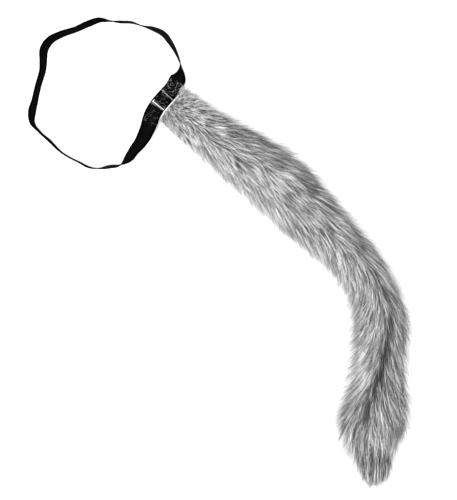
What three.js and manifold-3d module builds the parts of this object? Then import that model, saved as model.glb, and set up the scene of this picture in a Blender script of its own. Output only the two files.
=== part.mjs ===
// Costume animal tail on an elastic waistband, lying on a table as it falls when it is put down.
// Millimetres, +Z up. The tabletop is z = 0 and the origin is the middle of the part's footprint.
// Three pieces: the waistband, one strip of elastic with lapped ends; the hem, the fur backing turned
// under the band's outer edge and sewn there; and the stuffed fur tail, a sleeve covered in locks.
import * as THREE from "three";
import { mergeVertices } from "three/addons/utils/BufferGeometryUtils.js";
import Module from "manifold-3d";

const wasm = await Module();
wasm.setup();

// Driving dimensions.
const CLEARANCE = 0.3; // between pieces that are sewn together

const WAIST_RADIUS = 89; // mean reach of the relaxed loop from its middle
const BAND_WIDTH = 20;
const BAND_THICKNESS = 1.3;
const BAND_STEP = 4; // spacing of the strip's sections
const LAP_LENGTH = 19; // how far the strip's ends overlap
const LAP_RAMP = 11; // run over which the upper end comes down to the loop
const ROOT_LIFT = 9.5; // height of the flat stretch over the table
const FLAT_EASE = 7; // run over which the strip turns out of the flat at the hem's ends

const HEM_LENGTH = 47; // along the band
const HEM_TAB = 9; // depth of the backing under the band
const HEM_THICKNESS = 2;
const HEM_BEAD = 2; // turned edge that shows beside the band

const TAIL_LENGTH = 566; // hem to the last hairs, along the bend
const TAIL_WIDTH = 76; // over the fur at the middle of the tail
const TAIL_HEIGHT = 54;
const TOP_POWER = 0.92; // under 1 makes the section's upper half squarer than an ellipse
const UNDER_POWER = 0.72; // the same for the half that is pressed flat by the table
const ROOT_DROP = 57; // run over which the underside comes down from the hem to the table
const TAIL_STATIONS = 26;
const RING_POINTS = 14;
const FUR_RISE = 8; // how far lock tips stand off the sleeve
const LOCK_LENGTH = 38;
const LOCK_WIDTH = 19;
const LOCK_DEPTH = 7;
const LOCK_PITCH = 26;
const LOCKS_ROUND = 8;
const TIP_LOCKS = 9;
const TIP_SLEEVE_GAP = 26; // sleeve ends this far short of the last hairs
const TIP_OVERLAP = 13; // how far the tuft's locks start inside the sleeve

// A lock from its base to its point. share is of its length, depth is 0 on the fur's outline and 1 on
// the sleeve, and scale is of LOCK_WIDTH and LOCK_DEPTH.
const LOCK_CUTS = [
  { share: 0, depth: 1.25, scale: 0.8 },
  { share: 0.5, depth: 0.62, scale: 1 },
  { share: 1, depth: 0, scale: 0.12 },
];

// The loop as it lies, seen from above. turn is degrees round its middle, reach is a share of
// WAIST_RADIUS, lean is the strip's tilt from upright (90 lies flat, under 0 leans inwards) and
// lift is a share of ROOT_LIFT.
const LOOP = [
  { turn: -80.0, reach: 0.958, lean: 0, lift: 0 },
  { turn: -72.0, reach: 0.899, lean: 33, lift: 0 },
  { turn: -64.0, reach: 0.822, lean: 42, lift: 0 },
  { turn: -56.0, reach: 0.779, lean: 51, lift: 0.04 },
  { turn: -48.0, reach: 0.738, lean: 61, lift: 0.15 },
  { turn: -38.0, reach: 0.695, lean: 72, lift: 0.42 },
  { turn: -30.0, reach: 0.67, lean: 84, lift: 0.82 },
  { turn: -24.5, reach: 0.66, lean: 90, lift: 1 },
  { turn: -18.0, reach: 0.667, lean: 90, lift: 1 },
  { turn: -11.2, reach: 0.694, lean: 90, lift: 1 },
  { turn: -4.9, reach: 0.745, lean: 90, lift: 1 },
  { turn: 0.6, reach: 0.806, lean: 90, lift: 1 },
  { turn: 4.8, reach: 0.87, lean: 90, lift: 1 },
  { turn: 11.2, reach: 0.952, lean: 88, lift: 1 },
  { turn: 15.0, reach: 1.006, lean: 52, lift: 0.62 },
  { turn: 19.2, reach: 1.045, lean: 18, lift: 0.16 },
  { turn: 23.7, reach: 1.074, lean: 0, lift: 0 },
  { turn: 32.0, reach: 1.094, lean: -9, lift: 0 },
  { turn: 40.0, reach: 1.112, lean: -17, lift: 0 },
  { turn: 48.0, reach: 1.126, lean: -21, lift: 0 },
  { turn: 56.0, reach: 1.092, lean: -17, lift: 0 },
  { turn: 64.0, reach: 1.05, lean: -5, lift: 0 },
  { turn: 72.0, reach: 1.04, lean: -11, lift: 0 },
  { turn: 80.0, reach: 1.01, lean: -12, lift: 0 },
  { turn: 88.0, reach: 1.008, lean: -2, lift: 0 },
  { turn: 96.0, reach: 1.027, lean: 11, lift: 0 },
  { turn: 104.0, reach: 1.006, lean: 16, lift: 0 },
  { turn: 116.0, reach: 0.992, lean: 14, lift: 0 },
  { turn: 128.0, reach: 1.043, lean: 18, lift: 0 },
  { turn: 136.0, reach: 1.077, lean: 23, lift: 0 },
  { turn: 144.0, reach: 1.061, lean: 26, lift: 0 },
  { turn: 152.0, reach: 0.984, lean: 22, lift: 0 },
  { turn: 160.0, reach: 0.938, lean: 18, lift: 0 },
  { turn: 172.0, reach: 0.946, lean: 16, lift: 0 },
  { turn: 184.0, reach: 0.984, lean: 18, lift: 0 },
  { turn: 192.0, reach: 1.043, lean: 23, lift: 0 },
  { turn: 200.0, reach: 1.082, lean: 13, lift: 0 },
  { turn: 208.0, reach: 1.043, lean: 5, lift: 0 },
  { turn: 218.0, reach: 0.995, lean: 7, lift: 0 },
  { turn: 232.0, reach: 0.989, lean: 3, lift: 0 },
  { turn: 246.0, reach: 0.98, lean: 4, lift: 0 },
  { turn: 256.0, reach: 1.003, lean: 5, lift: 0 },
  { turn: 264.0, reach: 0.993, lean: 0, lift: 0 },
  { turn: 272.0, reach: 0.964, lean: -8, lift: 0 },
];
const LAP_TURN = 1.2; // where the strip's under end stops, beneath the upper one
const ROOT_TURN = -3.6; // where the tail's middle meets the band

// The tail along its bend. along is a share of TAIL_LENGTH, bend is degrees away from the way the
// tail leaves the band, width and height are shares of TAIL_WIDTH and TAIL_HEIGHT over the fur, and
// pile is a share of FUR_RISE.
const TAIL = [
  { along: 0.0, bend: 1, width: 0.63, height: 0.42, pile: 0.25 },
  { along: 0.05, bend: 3, width: 0.72, height: 0.56, pile: 0.6 },
  { along: 0.12, bend: 6, width: 0.8, height: 0.74, pile: 0.9 },
  { along: 0.19, bend: 5, width: 0.92, height: 0.9, pile: 1 },
  { along: 0.27, bend: 2, width: 1.02, height: 1.0, pile: 1 },
  { along: 0.36, bend: -1, width: 1.0, height: 1.0, pile: 1 },
  { along: 0.44, bend: -4, width: 0.9, height: 0.94, pile: 1 },
  { along: 0.52, bend: -12, width: 0.86, height: 0.9, pile: 1 },
  { along: 0.58, bend: -26, width: 0.83, height: 0.9, pile: 1 },
  { along: 0.64, bend: -41, width: 0.9, height: 0.94, pile: 1 },
  { along: 0.7, bend: -50, width: 0.94, height: 0.96, pile: 1 },
  { along: 0.76, bend: -54, width: 0.96, height: 0.96, pile: 1 },
  { along: 0.82, bend: -55, width: 1.09, height: 1.0, pile: 1 },
  { along: 0.87, bend: -55, width: 1.12, height: 1.0, pile: 1 },
  { along: 0.91, bend: -51, width: 0.95, height: 0.88, pile: 1 },
  { along: 0.955, bend: -47, width: 0.72, height: 0.66, pile: 0.9 },
  { along: 1.0, bend: -45, width: 0.42, height: 0.4, pile: 0.8 },
];

// Value of one column of a table at a place between its rows, on a smooth curve through them.
function columnAt(rows, place, column, at, period = 0) {
  const count = rows.length;
  const row = (i) => {
    const wraps = period ? Math.floor(i / count) : 0;
    const k = period ? i - wraps * count : Math.min(Math.max(i, 0), count - 1);
    return { at: rows[k][place] + wraps * period, value: rows[k][column] };
  };
  let t = at;
  if (period) t = rows[0][place] + THREE.MathUtils.euclideanModulo(at - rows[0][place], period);
  let i = 0;
  while (i < (period ? count - 1 : count - 2) && row(i + 1).at <= t) i += 1;
  const [before, from, to, after] = [row(i - 1), row(i), row(i + 1), row(i + 2)];
  const slope = (a, b) => (b.at > a.at ? (b.value - a.value) / (b.at - a.at) : 0);
  const span = to.at - from.at;
  const u = THREE.MathUtils.clamp((t - from.at) / span, 0, 1);
  const flat = from.value === to.value;
  const start = flat ? 0 : slope(before, to) * span;
  const end = flat ? 0 : slope(from, after) * span;
  const rise = to.value - from.value;
  return from.value + u * (start + u * (3 * rise - 2 * start - end + u * (start + end - 2 * rise)));
}

// The triangles that close an end whose outline is convex.
function fan(round) {
  return Array.from({ length: round - 2 }, (_, k) => [0, k + 1, k + 2]);
}

// Joins rings of equal point counts into one closed body. cap lists the triangles of its two ends.
function loft(rings, cap = fan(rings[0].length)) {
  const round = rings[0].length;
  const corners = rings.flat().flatMap((p) => [p.x, p.y, p.z]);
  const faces = [];
  for (let i = 0; i + 1 < rings.length; i += 1) {
    for (let k = 0; k < round; k += 1) {
      const a = i * round + k;
      const b = i * round + ((k + 1) % round);
      faces.push(a, b, b + round, a, b + round, a + round);
    }
  }
  const last = (rings.length - 1) * round;
  faces.push(...cap.flatMap(([a, b, c]) => [a, c, b, last + a, last + b, last + c]));
  const geometry = new THREE.BufferGeometry();
  geometry.setAttribute("position", new THREE.Float32BufferAttribute(corners, 3));
  geometry.setIndex(faces);
  return geometry;
}

function toSolid(geometry) {
  const bare = geometry.clone();
  bare.deleteAttribute("normal");
  bare.deleteAttribute("uv");
  const merged = mergeVertices(bare, 1e-4);
  return new wasm.Manifold(
    new wasm.Mesh({
      numProp: 3,
      vertProperties: new Float32Array(merged.attributes.position.array),
      triVerts: new Uint32Array(merged.index.array),
    }),
  );
}

function toGeometry(solid) {
  const mesh = solid.getMesh();
  const geometry = new THREE.BufferGeometry();
  geometry.setAttribute("position", new THREE.Float32BufferAttribute(mesh.vertProperties, 3));
  geometry.setIndex(Array.from(mesh.triVerts));
  geometry.computeVertexNormals();
  return geometry;
}

const radians = THREE.MathUtils.degToRad;
const UP = new THREE.Vector3(0, 0, 1);

// The loop's middle line in plan.
const loopColumn = (column, turn) => columnAt(LOOP, "turn", column, turn, 360);

function loopPoint(turn) {
  const reach = WAIST_RADIUS * loopColumn("reach", turn);
  return new THREE.Vector3(reach * Math.cos(radians(turn)), reach * Math.sin(radians(turn)), 0);
}

// Length along the loop against turn, so that the strip's sections and lap are set in millimetres.
const LOOP_SAMPLES = 1440;
const loopLengths = [0];
for (let i = 1; i <= LOOP_SAMPLES; i += 1) {
  const step = loopPoint((i * 360) / LOOP_SAMPLES).distanceTo(loopPoint(((i - 1) * 360) / LOOP_SAMPLES));
  loopLengths.push(loopLengths[i - 1] + step);
}
const LOOP_GIRTH = loopLengths[LOOP_SAMPLES];

function lengthAt(turn) {
  const wraps = Math.floor(turn / 360);
  const place = ((turn - wraps * 360) / 360) * LOOP_SAMPLES;
  const i = Math.min(Math.floor(place), LOOP_SAMPLES - 1);
  return wraps * LOOP_GIRTH + THREE.MathUtils.lerp(loopLengths[i], loopLengths[i + 1], place - i);
}

function turnAt(length) {
  const wraps = Math.floor(length / LOOP_GIRTH);
  const rest = length - wraps * LOOP_GIRTH;
  let i = 0;
  while (i < LOOP_SAMPLES - 1 && loopLengths[i + 1] < rest) i += 1;
  const share = (rest - loopLengths[i]) / (loopLengths[i + 1] - loopLengths[i]);
  return wraps * 360 + ((i + share) * 360) / LOOP_SAMPLES;
}

// Sections are spaced evenly round the loop, so those of the lap's two layers lie over each other.
const SECTION_STEP = LOOP_GIRTH / Math.round(LOOP_GIRTH / BAND_STEP);
const LAP_FROM = lengthAt(LAP_TURN) - LAP_LENGTH;
const ROOT_LENGTH = lengthAt(ROOT_TURN); // where the hem's middle is along the loop

// 1 where the hem holds the strip flat, 0 where it lies as the loop's table says.
function flatness(length) {
  const half = LOOP_GIRTH / 2;
  const away = Math.abs(THREE.MathUtils.euclideanModulo(length - ROOT_LENGTH + half, LOOP_GIRTH) - half);
  const held = HEM_LENGTH / 2 + SECTION_STEP;
  return 1 - THREE.MathUtils.smoothstep(away, held, held + FLAT_EASE);
}

// Middle, outward, cross and face directions of the strip at a length along the loop.
function bandFrame(length, extraLift) {
  const turn = turnAt(length);
  const flat = flatness(length);
  const probe = 0.5;
  const run = loopPoint(turn + probe).sub(loopPoint(turn - probe)).normalize();
  const outward = run.clone().cross(UP);
  const lean = radians(THREE.MathUtils.lerp(loopColumn("lean", turn), 90, flat));
  const lift = THREE.MathUtils.lerp(Math.max(loopColumn("lift", turn), 0), 1, flat);
  const across = outward.clone().multiplyScalar(Math.sin(lean)).addScaledVector(UP, Math.cos(lean));
  const face = across.clone().cross(run);
  const middle = loopPoint(turn);
  middle.z =
    ROOT_LIFT * lift +
    (BAND_WIDTH / 2) * Math.abs(across.z) +
    (BAND_THICKNESS / 2) * Math.abs(face.z) +
    extraLift;
  return { middle, outward, across, face };
}

// Points given in the strip's own directions: across its width, and off its face.
function inBand(length, extraLift, points) {
  const { middle, across, face } = bandFrame(length, extraLift);
  return points.map((p) => middle.clone().addScaledVector(across, p.across).addScaledVector(face, p.off));
}

// One strip of elastic. Its upper end starts on top of the lap, and its under end closes the loop.
function elasticBand() {
  const edge = BAND_WIDTH / 2;
  const half = BAND_THICKNESS / 2;
  const section = [
    { across: -edge, off: -half },
    { across: -edge, off: half },
    { across: edge, off: half },
    { across: edge, off: -half },
  ];
  const total = LOOP_GIRTH + LAP_LENGTH;
  const whole = Math.floor(total / SECTION_STEP - 0.1);
  const runs = Array.from({ length: whole + 1 }, (_, i) => i * SECTION_STEP).concat(total);
  return loft(
    runs.map((run) => {
      const down = THREE.MathUtils.smoothstep(run, LAP_LENGTH, LAP_LENGTH + LAP_RAMP);
      return inBand(LAP_FROM + run, (BAND_THICKNESS + CLEARANCE) * (1 - down), section);
    }),
  );
}

const EDGE_GAP = BAND_WIDTH / 2 + CLEARANCE; // from the strip's middle to what lies beside it

// A point in plan beside the strip, out from its middle.
function rootEdge(length, out) {
  const frame = bandFrame(length, 0);
  return frame.middle.clone().setZ(0).addScaledVector(frame.outward, out);
}

// Backing fabric: a tab sewn under the band, and its turned edge beside the band. Between the
// strip's sections it runs straight as the strip does, so the clearance is even all along.
function rootHem() {
  const under = -BAND_THICKNESS / 2 - CLEARANCE;
  const top = 1.5 * BAND_THICKNESS + CLEARANCE;
  const shoulder = top - HEM_BEAD / 3;
  const section = [
    { across: EDGE_GAP - HEM_TAB, off: under },
    { across: EDGE_GAP, off: under },
    { across: EDGE_GAP, off: shoulder },
    { across: EDGE_GAP + HEM_BEAD / 2, off: top },
    { across: EDGE_GAP + HEM_BEAD, off: shoulder },
    { across: EDGE_GAP + HEM_BEAD, off: under - HEM_THICKNESS },
    { across: EDGE_GAP - HEM_TAB, off: under - HEM_THICKNESS },
  ];
  const cap = [
    [0, 1, 6],
    [1, 5, 6],
    [1, 4, 5],
    [1, 2, 4],
    [2, 3, 4],
  ];
  const ringAt = (place) => {
    const before = Math.floor(place);
    const from = inBand(LAP_FROM + before * SECTION_STEP, 0, section);
    const to = inBand(LAP_FROM + (before + 1) * SECTION_STEP, 0, section);
    return from.map((point, k) => point.lerp(to[k], place - before));
  };
  const first = (ROOT_LENGTH - HEM_LENGTH / 2 - LAP_FROM) / SECTION_STEP;
  const last = (ROOT_LENGTH + HEM_LENGTH / 2 - LAP_FROM) / SECTION_STEP;
  const places = [first];
  for (let place = Math.ceil(first + 0.1); place < last - 0.1; place += 1) places.push(place);
  return loft([...places, last].map(ringAt), cap);
}

// The tail's middle line in plan, worked out by running along its bends.
const SPINE_STEPS = 200;
const rootFrame = bandFrame(ROOT_LENGTH, 0);
const leaving = Math.atan2(rootFrame.outward.y, rootFrame.outward.x);
const spine = [rootEdge(ROOT_LENGTH, EDGE_GAP + HEM_BEAD)];
for (let i = 1; i <= SPINE_STEPS; i += 1) {
  const heading = leaving + radians(tailColumn("bend", (i - 0.5) / SPINE_STEPS));
  const step = new THREE.Vector3(Math.cos(heading), Math.sin(heading), 0);
  spine.push(spine[i - 1].clone().addScaledVector(step, TAIL_LENGTH / SPINE_STEPS));
}

function tailColumn(column, along) {
  return columnAt(TAIL, "along", column, along);
}

// A point of the tail round its section: angle 0 is the right side, 90 degrees the top. depth is 0 on
// the fur's outline and 1 on the sleeve, and the underside lies flat on the table.
function tailPoint(along, angle, depth) {
  const inset = depth * FUR_RISE * tailColumn("pile", along);
  const place = THREE.MathUtils.clamp(along, 0, 1) * SPINE_STEPS;
  const i = Math.min(Math.floor(place), SPINE_STEPS - 1);
  const middle = spine[i].clone().lerp(spine[i + 1], place - i);
  const ahead = spine[i + 1].clone().sub(spine[i]).normalize();
  middle.addScaledVector(ahead, ((along * SPINE_STEPS - place) * TAIL_LENGTH) / SPINE_STEPS);
  const right = ahead.clone().cross(UP);
  const halfWidth = (TAIL_WIDTH / 2) * tailColumn("width", along);
  const halfHeight = (TAIL_HEIGHT / 2) * tailColumn("height", along);
  const restHeight = Math.max(halfHeight, ROOT_LIFT * (1 - (along * TAIL_LENGTH) / ROOT_DROP));
  const power = Math.sin(angle) < 0 ? UNDER_POWER : TOP_POWER;
  const bulge = (v) => Math.sign(v) * Math.abs(v) ** power;
  const width = Math.max(halfWidth - inset, 1);
  const height = Math.sin(angle) < 0 ? restHeight : Math.max(halfHeight - inset, 1);
  return middle
    .addScaledVector(right, width * bulge(Math.cos(angle)))
    .setZ(restHeight + height * bulge(Math.sin(angle)));
}

// Repeatable spread between -1 and 1, so that no two locks are alike.
function spread(seed) {
  const wave = Math.sin(seed * 12.9898) * 43758.5453;
  return 2 * (wave - Math.floor(wave)) - 1;
}

// A lock of fur: a flat wedge from inside the sleeve to a point. tipDepth sinks the point below the
// fur's outline.
function furLock(along, angle, length, tipDepth) {
  const probe = 0.02;
  const rings = LOCK_CUTS.map((cut) => {
    const at = along + (cut.share * length) / TAIL_LENGTH;
    const depth = cut.depth + tipDepth * cut.share ** 2;
    const middle = tailPoint(at, angle, depth);
    const side = tailPoint(at, angle + probe, depth).sub(tailPoint(at, angle - probe, depth)).normalize();
    const run = tailPoint(at + probe, angle, depth).sub(tailPoint(at - probe, angle, depth)).normalize();
    const out = side.clone().cross(run).normalize().multiplyScalar(-1);
    const half = side.multiplyScalar((LOCK_WIDTH * cut.scale) / 2);
    const rise = out.multiplyScalar((LOCK_DEPTH * cut.scale) / 2);
    return [
      middle.clone().sub(half),
      middle.clone().sub(rise),
      middle.clone().add(half),
      middle.clone().add(rise),
    ];
  });
  return loft(rings);
}

// The stuffed sleeve, its locks in staggered rows, and a tuft at its end.
function furTail() {
  const sleeveEnd = 1 - TIP_SLEEVE_GAP / TAIL_LENGTH;
  const sleeveStart = -HEM_TAB / TAIL_LENGTH;
  const rings = [];
  for (let i = 0; i <= TAIL_STATIONS; i += 1) {
    const along = THREE.MathUtils.lerp(sleeveStart, sleeveEnd, i / TAIL_STATIONS);
    const ring = [];
    for (let k = 0; k < RING_POINTS; k += 1) {
      ring.push(tailPoint(along, (-2 * Math.PI * k) / RING_POINTS, 1));
    }
    rings.push(ring);
  }
  const parts = [toSolid(loft(rings))];
  const rows = Math.floor((TAIL_LENGTH * sleeveEnd - LOCK_LENGTH * 0.6) / LOCK_PITCH);
  for (let row = 0; row < rows; row += 1) {
    for (let k = 0; k < LOCKS_ROUND; k += 1) {
      const seed = row * LOCKS_ROUND + k;
      const angle = (2 * Math.PI * (k + 0.5 * (row % 2) + 0.16 * spread(seed))) / LOCKS_ROUND;
      const under = Math.sin(angle) < -0.8;
      if (under) continue;
      const along = ((row + 0.25 + 0.2 * spread(seed + 0.3)) * LOCK_PITCH) / TAIL_LENGTH;
      const length = LOCK_LENGTH * (1 + 0.18 * spread(seed + 0.6));
      parts.push(toSolid(furLock(along, angle, length, 0.2 * spread(seed + 0.9))));
    }
  }
  for (let k = 0; k < TIP_LOCKS; k += 1) {
    const angle = (2 * Math.PI * (k + 0.4 * spread(k))) / TIP_LOCKS;
    const along = sleeveEnd - TIP_OVERLAP / TAIL_LENGTH;
    const length = TIP_SLEEVE_GAP * (1 - 0.3 * Math.abs(spread(k + 0.5))) + TIP_OVERLAP;
    parts.push(toSolid(furLock(along, angle, length, 0.5 + 0.5 * spread(k + 0.7))));
  }
  const whole = parts.reduce((sum, part) => sum.add(part));
  return whole.subtract(loopSide()).subtract(underTable());
}

// Everything on the loop's side of the hem, so that the fur stops along the hem's edge.
function loopSide() {
  const outline = new THREE.Shape();
  outline.moveTo(0, 0);
  const from = ROOT_LENGTH - 1.4 * HEM_LENGTH;
  const to = ROOT_LENGTH + 0.9 * HEM_LENGTH;
  const points = 30;
  for (let i = 0; i <= points; i += 1) {
    const edge = rootEdge(THREE.MathUtils.lerp(from, to, i / points), EDGE_GAP + HEM_BEAD + CLEARANCE);
    outline.lineTo(edge.x, edge.y);
  }
  const block = new THREE.ExtrudeGeometry(outline, { depth: 4 * TAIL_HEIGHT, bevelEnabled: false });
  return toSolid(block.translate(0, 0, -2 * TAIL_HEIGHT));
}

function underTable() {
  const span = 4 * TAIL_LENGTH;
  const slab = new THREE.BoxGeometry(span, span, TAIL_HEIGHT);
  return toSolid(slab.translate(0, 0, -TAIL_HEIGHT / 2));
}

function piece(name, geometry, color, roughness) {
  const mesh = new THREE.Mesh(geometry, new THREE.MeshStandardMaterial({ color, roughness, metalness: 0 }));
  mesh.name = name;
  return mesh;
}

// Assembly, set down with the middle of its footprint at the origin.
const laid = new THREE.Group();
laid.add(piece("elastic_band", elasticBand(), 0x0c0c0d, 0.62));
laid.add(piece("root_hem", rootHem(), 0xdedede, 0.9));
laid.add(piece("fur_tail", toGeometry(furTail()), 0xa9a9a9, 0.85));

const extent = new THREE.Box3().setFromObject(laid);
const footprint = extent.getCenter(new THREE.Vector3());
laid.position.set(-footprint.x, -footprint.y, -extent.min.z);

const costumeTail = new THREE.Group();
costumeTail.add(laid);
export default costumeTail;
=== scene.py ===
"""Costume animal tail on an elastic waistband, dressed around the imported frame.

The tail lies on a pale table and the camera looks straight down on it. Metres, +Z up, and the
tabletop is z = 0. The waistband and the tail follow the same tables and sizes as the part's source,
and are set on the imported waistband's own box.
"""

import logging
import math
from dataclasses import dataclass, field
from enum import Enum
from typing import Any

import bpy
import numpy as np
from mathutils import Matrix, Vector

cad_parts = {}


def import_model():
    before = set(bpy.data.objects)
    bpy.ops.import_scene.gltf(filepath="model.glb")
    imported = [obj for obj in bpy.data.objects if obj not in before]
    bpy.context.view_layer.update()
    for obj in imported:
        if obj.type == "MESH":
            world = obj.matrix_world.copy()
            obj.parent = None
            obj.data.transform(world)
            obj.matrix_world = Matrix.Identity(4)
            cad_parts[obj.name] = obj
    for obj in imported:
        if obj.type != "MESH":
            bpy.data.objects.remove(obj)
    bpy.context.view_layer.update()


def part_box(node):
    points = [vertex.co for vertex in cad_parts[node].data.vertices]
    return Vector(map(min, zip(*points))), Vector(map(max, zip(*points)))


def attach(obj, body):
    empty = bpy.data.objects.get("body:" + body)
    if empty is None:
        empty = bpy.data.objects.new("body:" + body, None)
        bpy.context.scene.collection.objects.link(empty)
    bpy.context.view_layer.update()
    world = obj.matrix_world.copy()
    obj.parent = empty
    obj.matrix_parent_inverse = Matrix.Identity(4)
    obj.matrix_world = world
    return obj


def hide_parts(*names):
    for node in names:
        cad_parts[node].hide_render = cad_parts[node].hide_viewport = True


LOG = logging.getLogger("costume_tail")
MM = 0.001
FULL_TURN = 2 * math.pi

# The loop as it lies: degrees round its middle, reach as a share of the loop's radius, lean of the
# strip from upright in degrees, and lift as a share of the flat stretch's height.
LOOP_COLUMNS = ("turn", "reach", "lean", "lift")
LOOP_ROWS = (
    (-80.0, 0.958, 0, 0),
    (-72.0, 0.899, 33, 0),
    (-64.0, 0.822, 42, 0),
    (-56.0, 0.779, 51, 0.04),
    (-48.0, 0.738, 61, 0.15),
    (-38.0, 0.695, 72, 0.42),
    (-30.0, 0.67, 84, 0.82),
    (-24.5, 0.66, 90, 1),
    (-18.0, 0.667, 90, 1),
    (-11.2, 0.694, 90, 1),
    (-4.9, 0.745, 90, 1),
    (0.6, 0.806, 90, 1),
    (4.8, 0.87, 90, 1),
    (11.2, 0.952, 88, 1),
    (15.0, 1.006, 52, 0.62),
    (19.2, 1.045, 18, 0.16),
    (23.7, 1.074, 0, 0),
    (32.0, 1.094, -9, 0),
    (40.0, 1.112, -17, 0),
    (48.0, 1.126, -21, 0),
    (56.0, 1.092, -17, 0),
    (64.0, 1.05, -5, 0),
    (72.0, 1.04, -11, 0),
    (80.0, 1.01, -12, 0),
    (88.0, 1.008, -2, 0),
    (96.0, 1.027, 11, 0),
    (104.0, 1.006, 16, 0),
    (116.0, 0.992, 14, 0),
    (128.0, 1.043, 18, 0),
    (136.0, 1.077, 23, 0),
    (144.0, 1.061, 26, 0),
    (152.0, 0.984, 22, 0),
    (160.0, 0.938, 18, 0),
    (172.0, 0.946, 16, 0),
    (184.0, 0.984, 18, 0),
    (192.0, 1.043, 23, 0),
    (200.0, 1.082, 13, 0),
    (208.0, 1.043, 5, 0),
    (218.0, 0.995, 7, 0),
    (232.0, 0.989, 3, 0),
    (246.0, 0.98, 4, 0),
    (256.0, 1.003, 5, 0),
    (264.0, 0.993, 0, 0),
    (272.0, 0.964, -8, 0),
)

# The tail along its bend: share of its length, degrees from the way it leaves the band, width and
# height over the fur as shares of the tail's, and pile as a share of the fur's rise.
TAIL_COLUMNS = ("along", "bend", "width", "height", "pile")
TAIL_ROWS = (
    (0.0, 1, 0.63, 0.42, 0.25),
    (0.05, 3, 0.72, 0.56, 0.6),
    (0.12, 6, 0.8, 0.74, 0.9),
    (0.19, 5, 0.92, 0.9, 1),
    (0.27, 2, 1.02, 1.0, 1),
    (0.36, -1, 1.0, 1.0, 1),
    (0.44, -4, 0.9, 0.94, 1),
    (0.52, -12, 0.86, 0.9, 1),
    (0.58, -26, 0.83, 0.9, 1),
    (0.64, -41, 0.9, 0.94, 1),
    (0.7, -50, 0.94, 0.96, 1),
    (0.76, -54, 0.96, 0.96, 1),
    (0.82, -55, 1.09, 1.0, 1),
    (0.87, -55, 1.12, 1.0, 1),
    (0.91, -51, 0.95, 0.88, 1),
    (0.955, -47, 0.72, 0.66, 0.9),
    (1.0, -45, 0.42, 0.4, 0.8),
)

# How the fur lies along the tail, left and right as the camera sees it: degrees that it splays to each
# side of its parting, strand length in millimetres, how much lighter or darker it is, how much painted
# light lightens its left and painted shade darkens its right, how much painted shade darkens its parting,
# how far the parting lies right of the top in degrees, and how far the coat sinks under the outline on
# each side, in fur rises.
COMB_COLUMNS = (
    "along", "left", "right", "length", "tone", "lean", "parting", "seam", "in_left", "in_right",
)
COMB_ROWS = (
    (0.0, 8, 50, 7, 1.5, 0.0, 0.0, 0, 0.6, -1.2),
    (0.04, 14, 30, 11, 1.5, 0.1, 0.0, 0, 0.2, -0.5),
    (0.1, 12, 7, 19, 1.18, 1.2, 0.0, 0, 0.25, -0.2),
    (0.25, 13, 7, 26, 1.08, 1.8, 0.0, 0, 0.3, -0.1),
    (0.35, 15, 8, 28, 0.97, 1.3, 0.1, 8, 0.2, 0.4),
    (0.45, 18, 10, 28, 0.95, 1.2, 0.3, 20, 0.4, 0.7),
    (0.55, 22, 13, 28, 0.98, 1.2, 0.65, 25, 0.5, 0.3),
    (0.62, 27, 17, 29, 1.11, 1.4, 0.82, 26, 0.5, 0.3),
    (0.68, 32, 22, 30, 1.18, 1.3, 0.88, 16, 0.8, 0.7),
    (0.75, 36, 24, 30, 1.1, 1.2, 0.95, 0, 0.95, 0.8),
    (0.82, 38, 22, 30, 0.91, 0.35, 0.7, -17, 0.8, 0.5),
    (0.87, 38, 20, 27, 0.85, -0.1, 0.05, -8, 0.45, 0.5),
    (0.89, 34, 16, 24, 0.74, -0.1, 0.0, -8, 0.7, 0.7),
    (0.908, 26, 12, 23, 0.66, 0.0, 0.0, -8, 1.9, 1.0),
    (0.955, 12, 12, 30, 0.84, 0.0, 0.0, 20, 1.3, -0.5),
    (1.0, 8, 12, 28, 1.1, 0.0, 0.0, 20, 0.5, -0.7),
)


@dataclass(frozen=True)
class SmoothTable:
    """Columns of values on smooth curves through the rows of a table."""

    columns: tuple[str, ...]
    rows: tuple[tuple[float, ...], ...]
    period: float = 0.0

    def at(self, column: str, where: np.ndarray | float) -> np.ndarray:
        """Gives one column's value at places along the table.

        Args:
            column: The column's name.
            where: Places in the unit of the first column.

        Returns:
            The values, in the shape of where.
        """
        where = np.asarray(where, float)
        table = np.array(self.rows, float)
        places = table[:, 0]
        values = table[:, self.columns.index(column)]
        if self.period:
            where = places[0] + np.mod(where - places[0], self.period)
            places = np.concatenate((places[-1:] - self.period, places, places[:2] + self.period))
            values = np.concatenate((values[-1:], values, values[:2]))
        else:
            places = np.concatenate((places[:1], places, places[-1:]))
            values = np.concatenate((values[:1], values, values[-1:]))
        row = np.clip(np.searchsorted(places[1:-1], where, side="right") - 1, 0, len(places) - 4)
        start, end = places[row + 1], places[row + 2]
        low, high = values[row + 1], values[row + 2]
        span = end - start
        share = np.clip((where - start) / span, 0, 1)
        leave = (high - values[row]) / (end - places[row]) * span
        arrive = (values[row + 3] - low) / (places[row + 3] - start) * span
        curved = low != high
        leave, arrive, rise = leave * curved, arrive * curved, high - low
        bent = 3 * rise - 2 * leave - arrive + share * (leave + arrive - 2 * rise)
        return low + share * (leave + share * bent)


def smooth_step(value: np.ndarray, low: float, high: float) -> np.ndarray:
    """Rises smoothly from 0 at low to 1 at high."""
    share = np.clip((value - low) / (high - low), 0, 1)
    return share * share * (3 - 2 * share)


def unit(vectors: np.ndarray) -> np.ndarray:
    """Scales each vector of the last axis to length 1."""
    return vectors / np.maximum(np.linalg.norm(vectors, axis=-1, keepdims=True), 1e-12)


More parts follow.
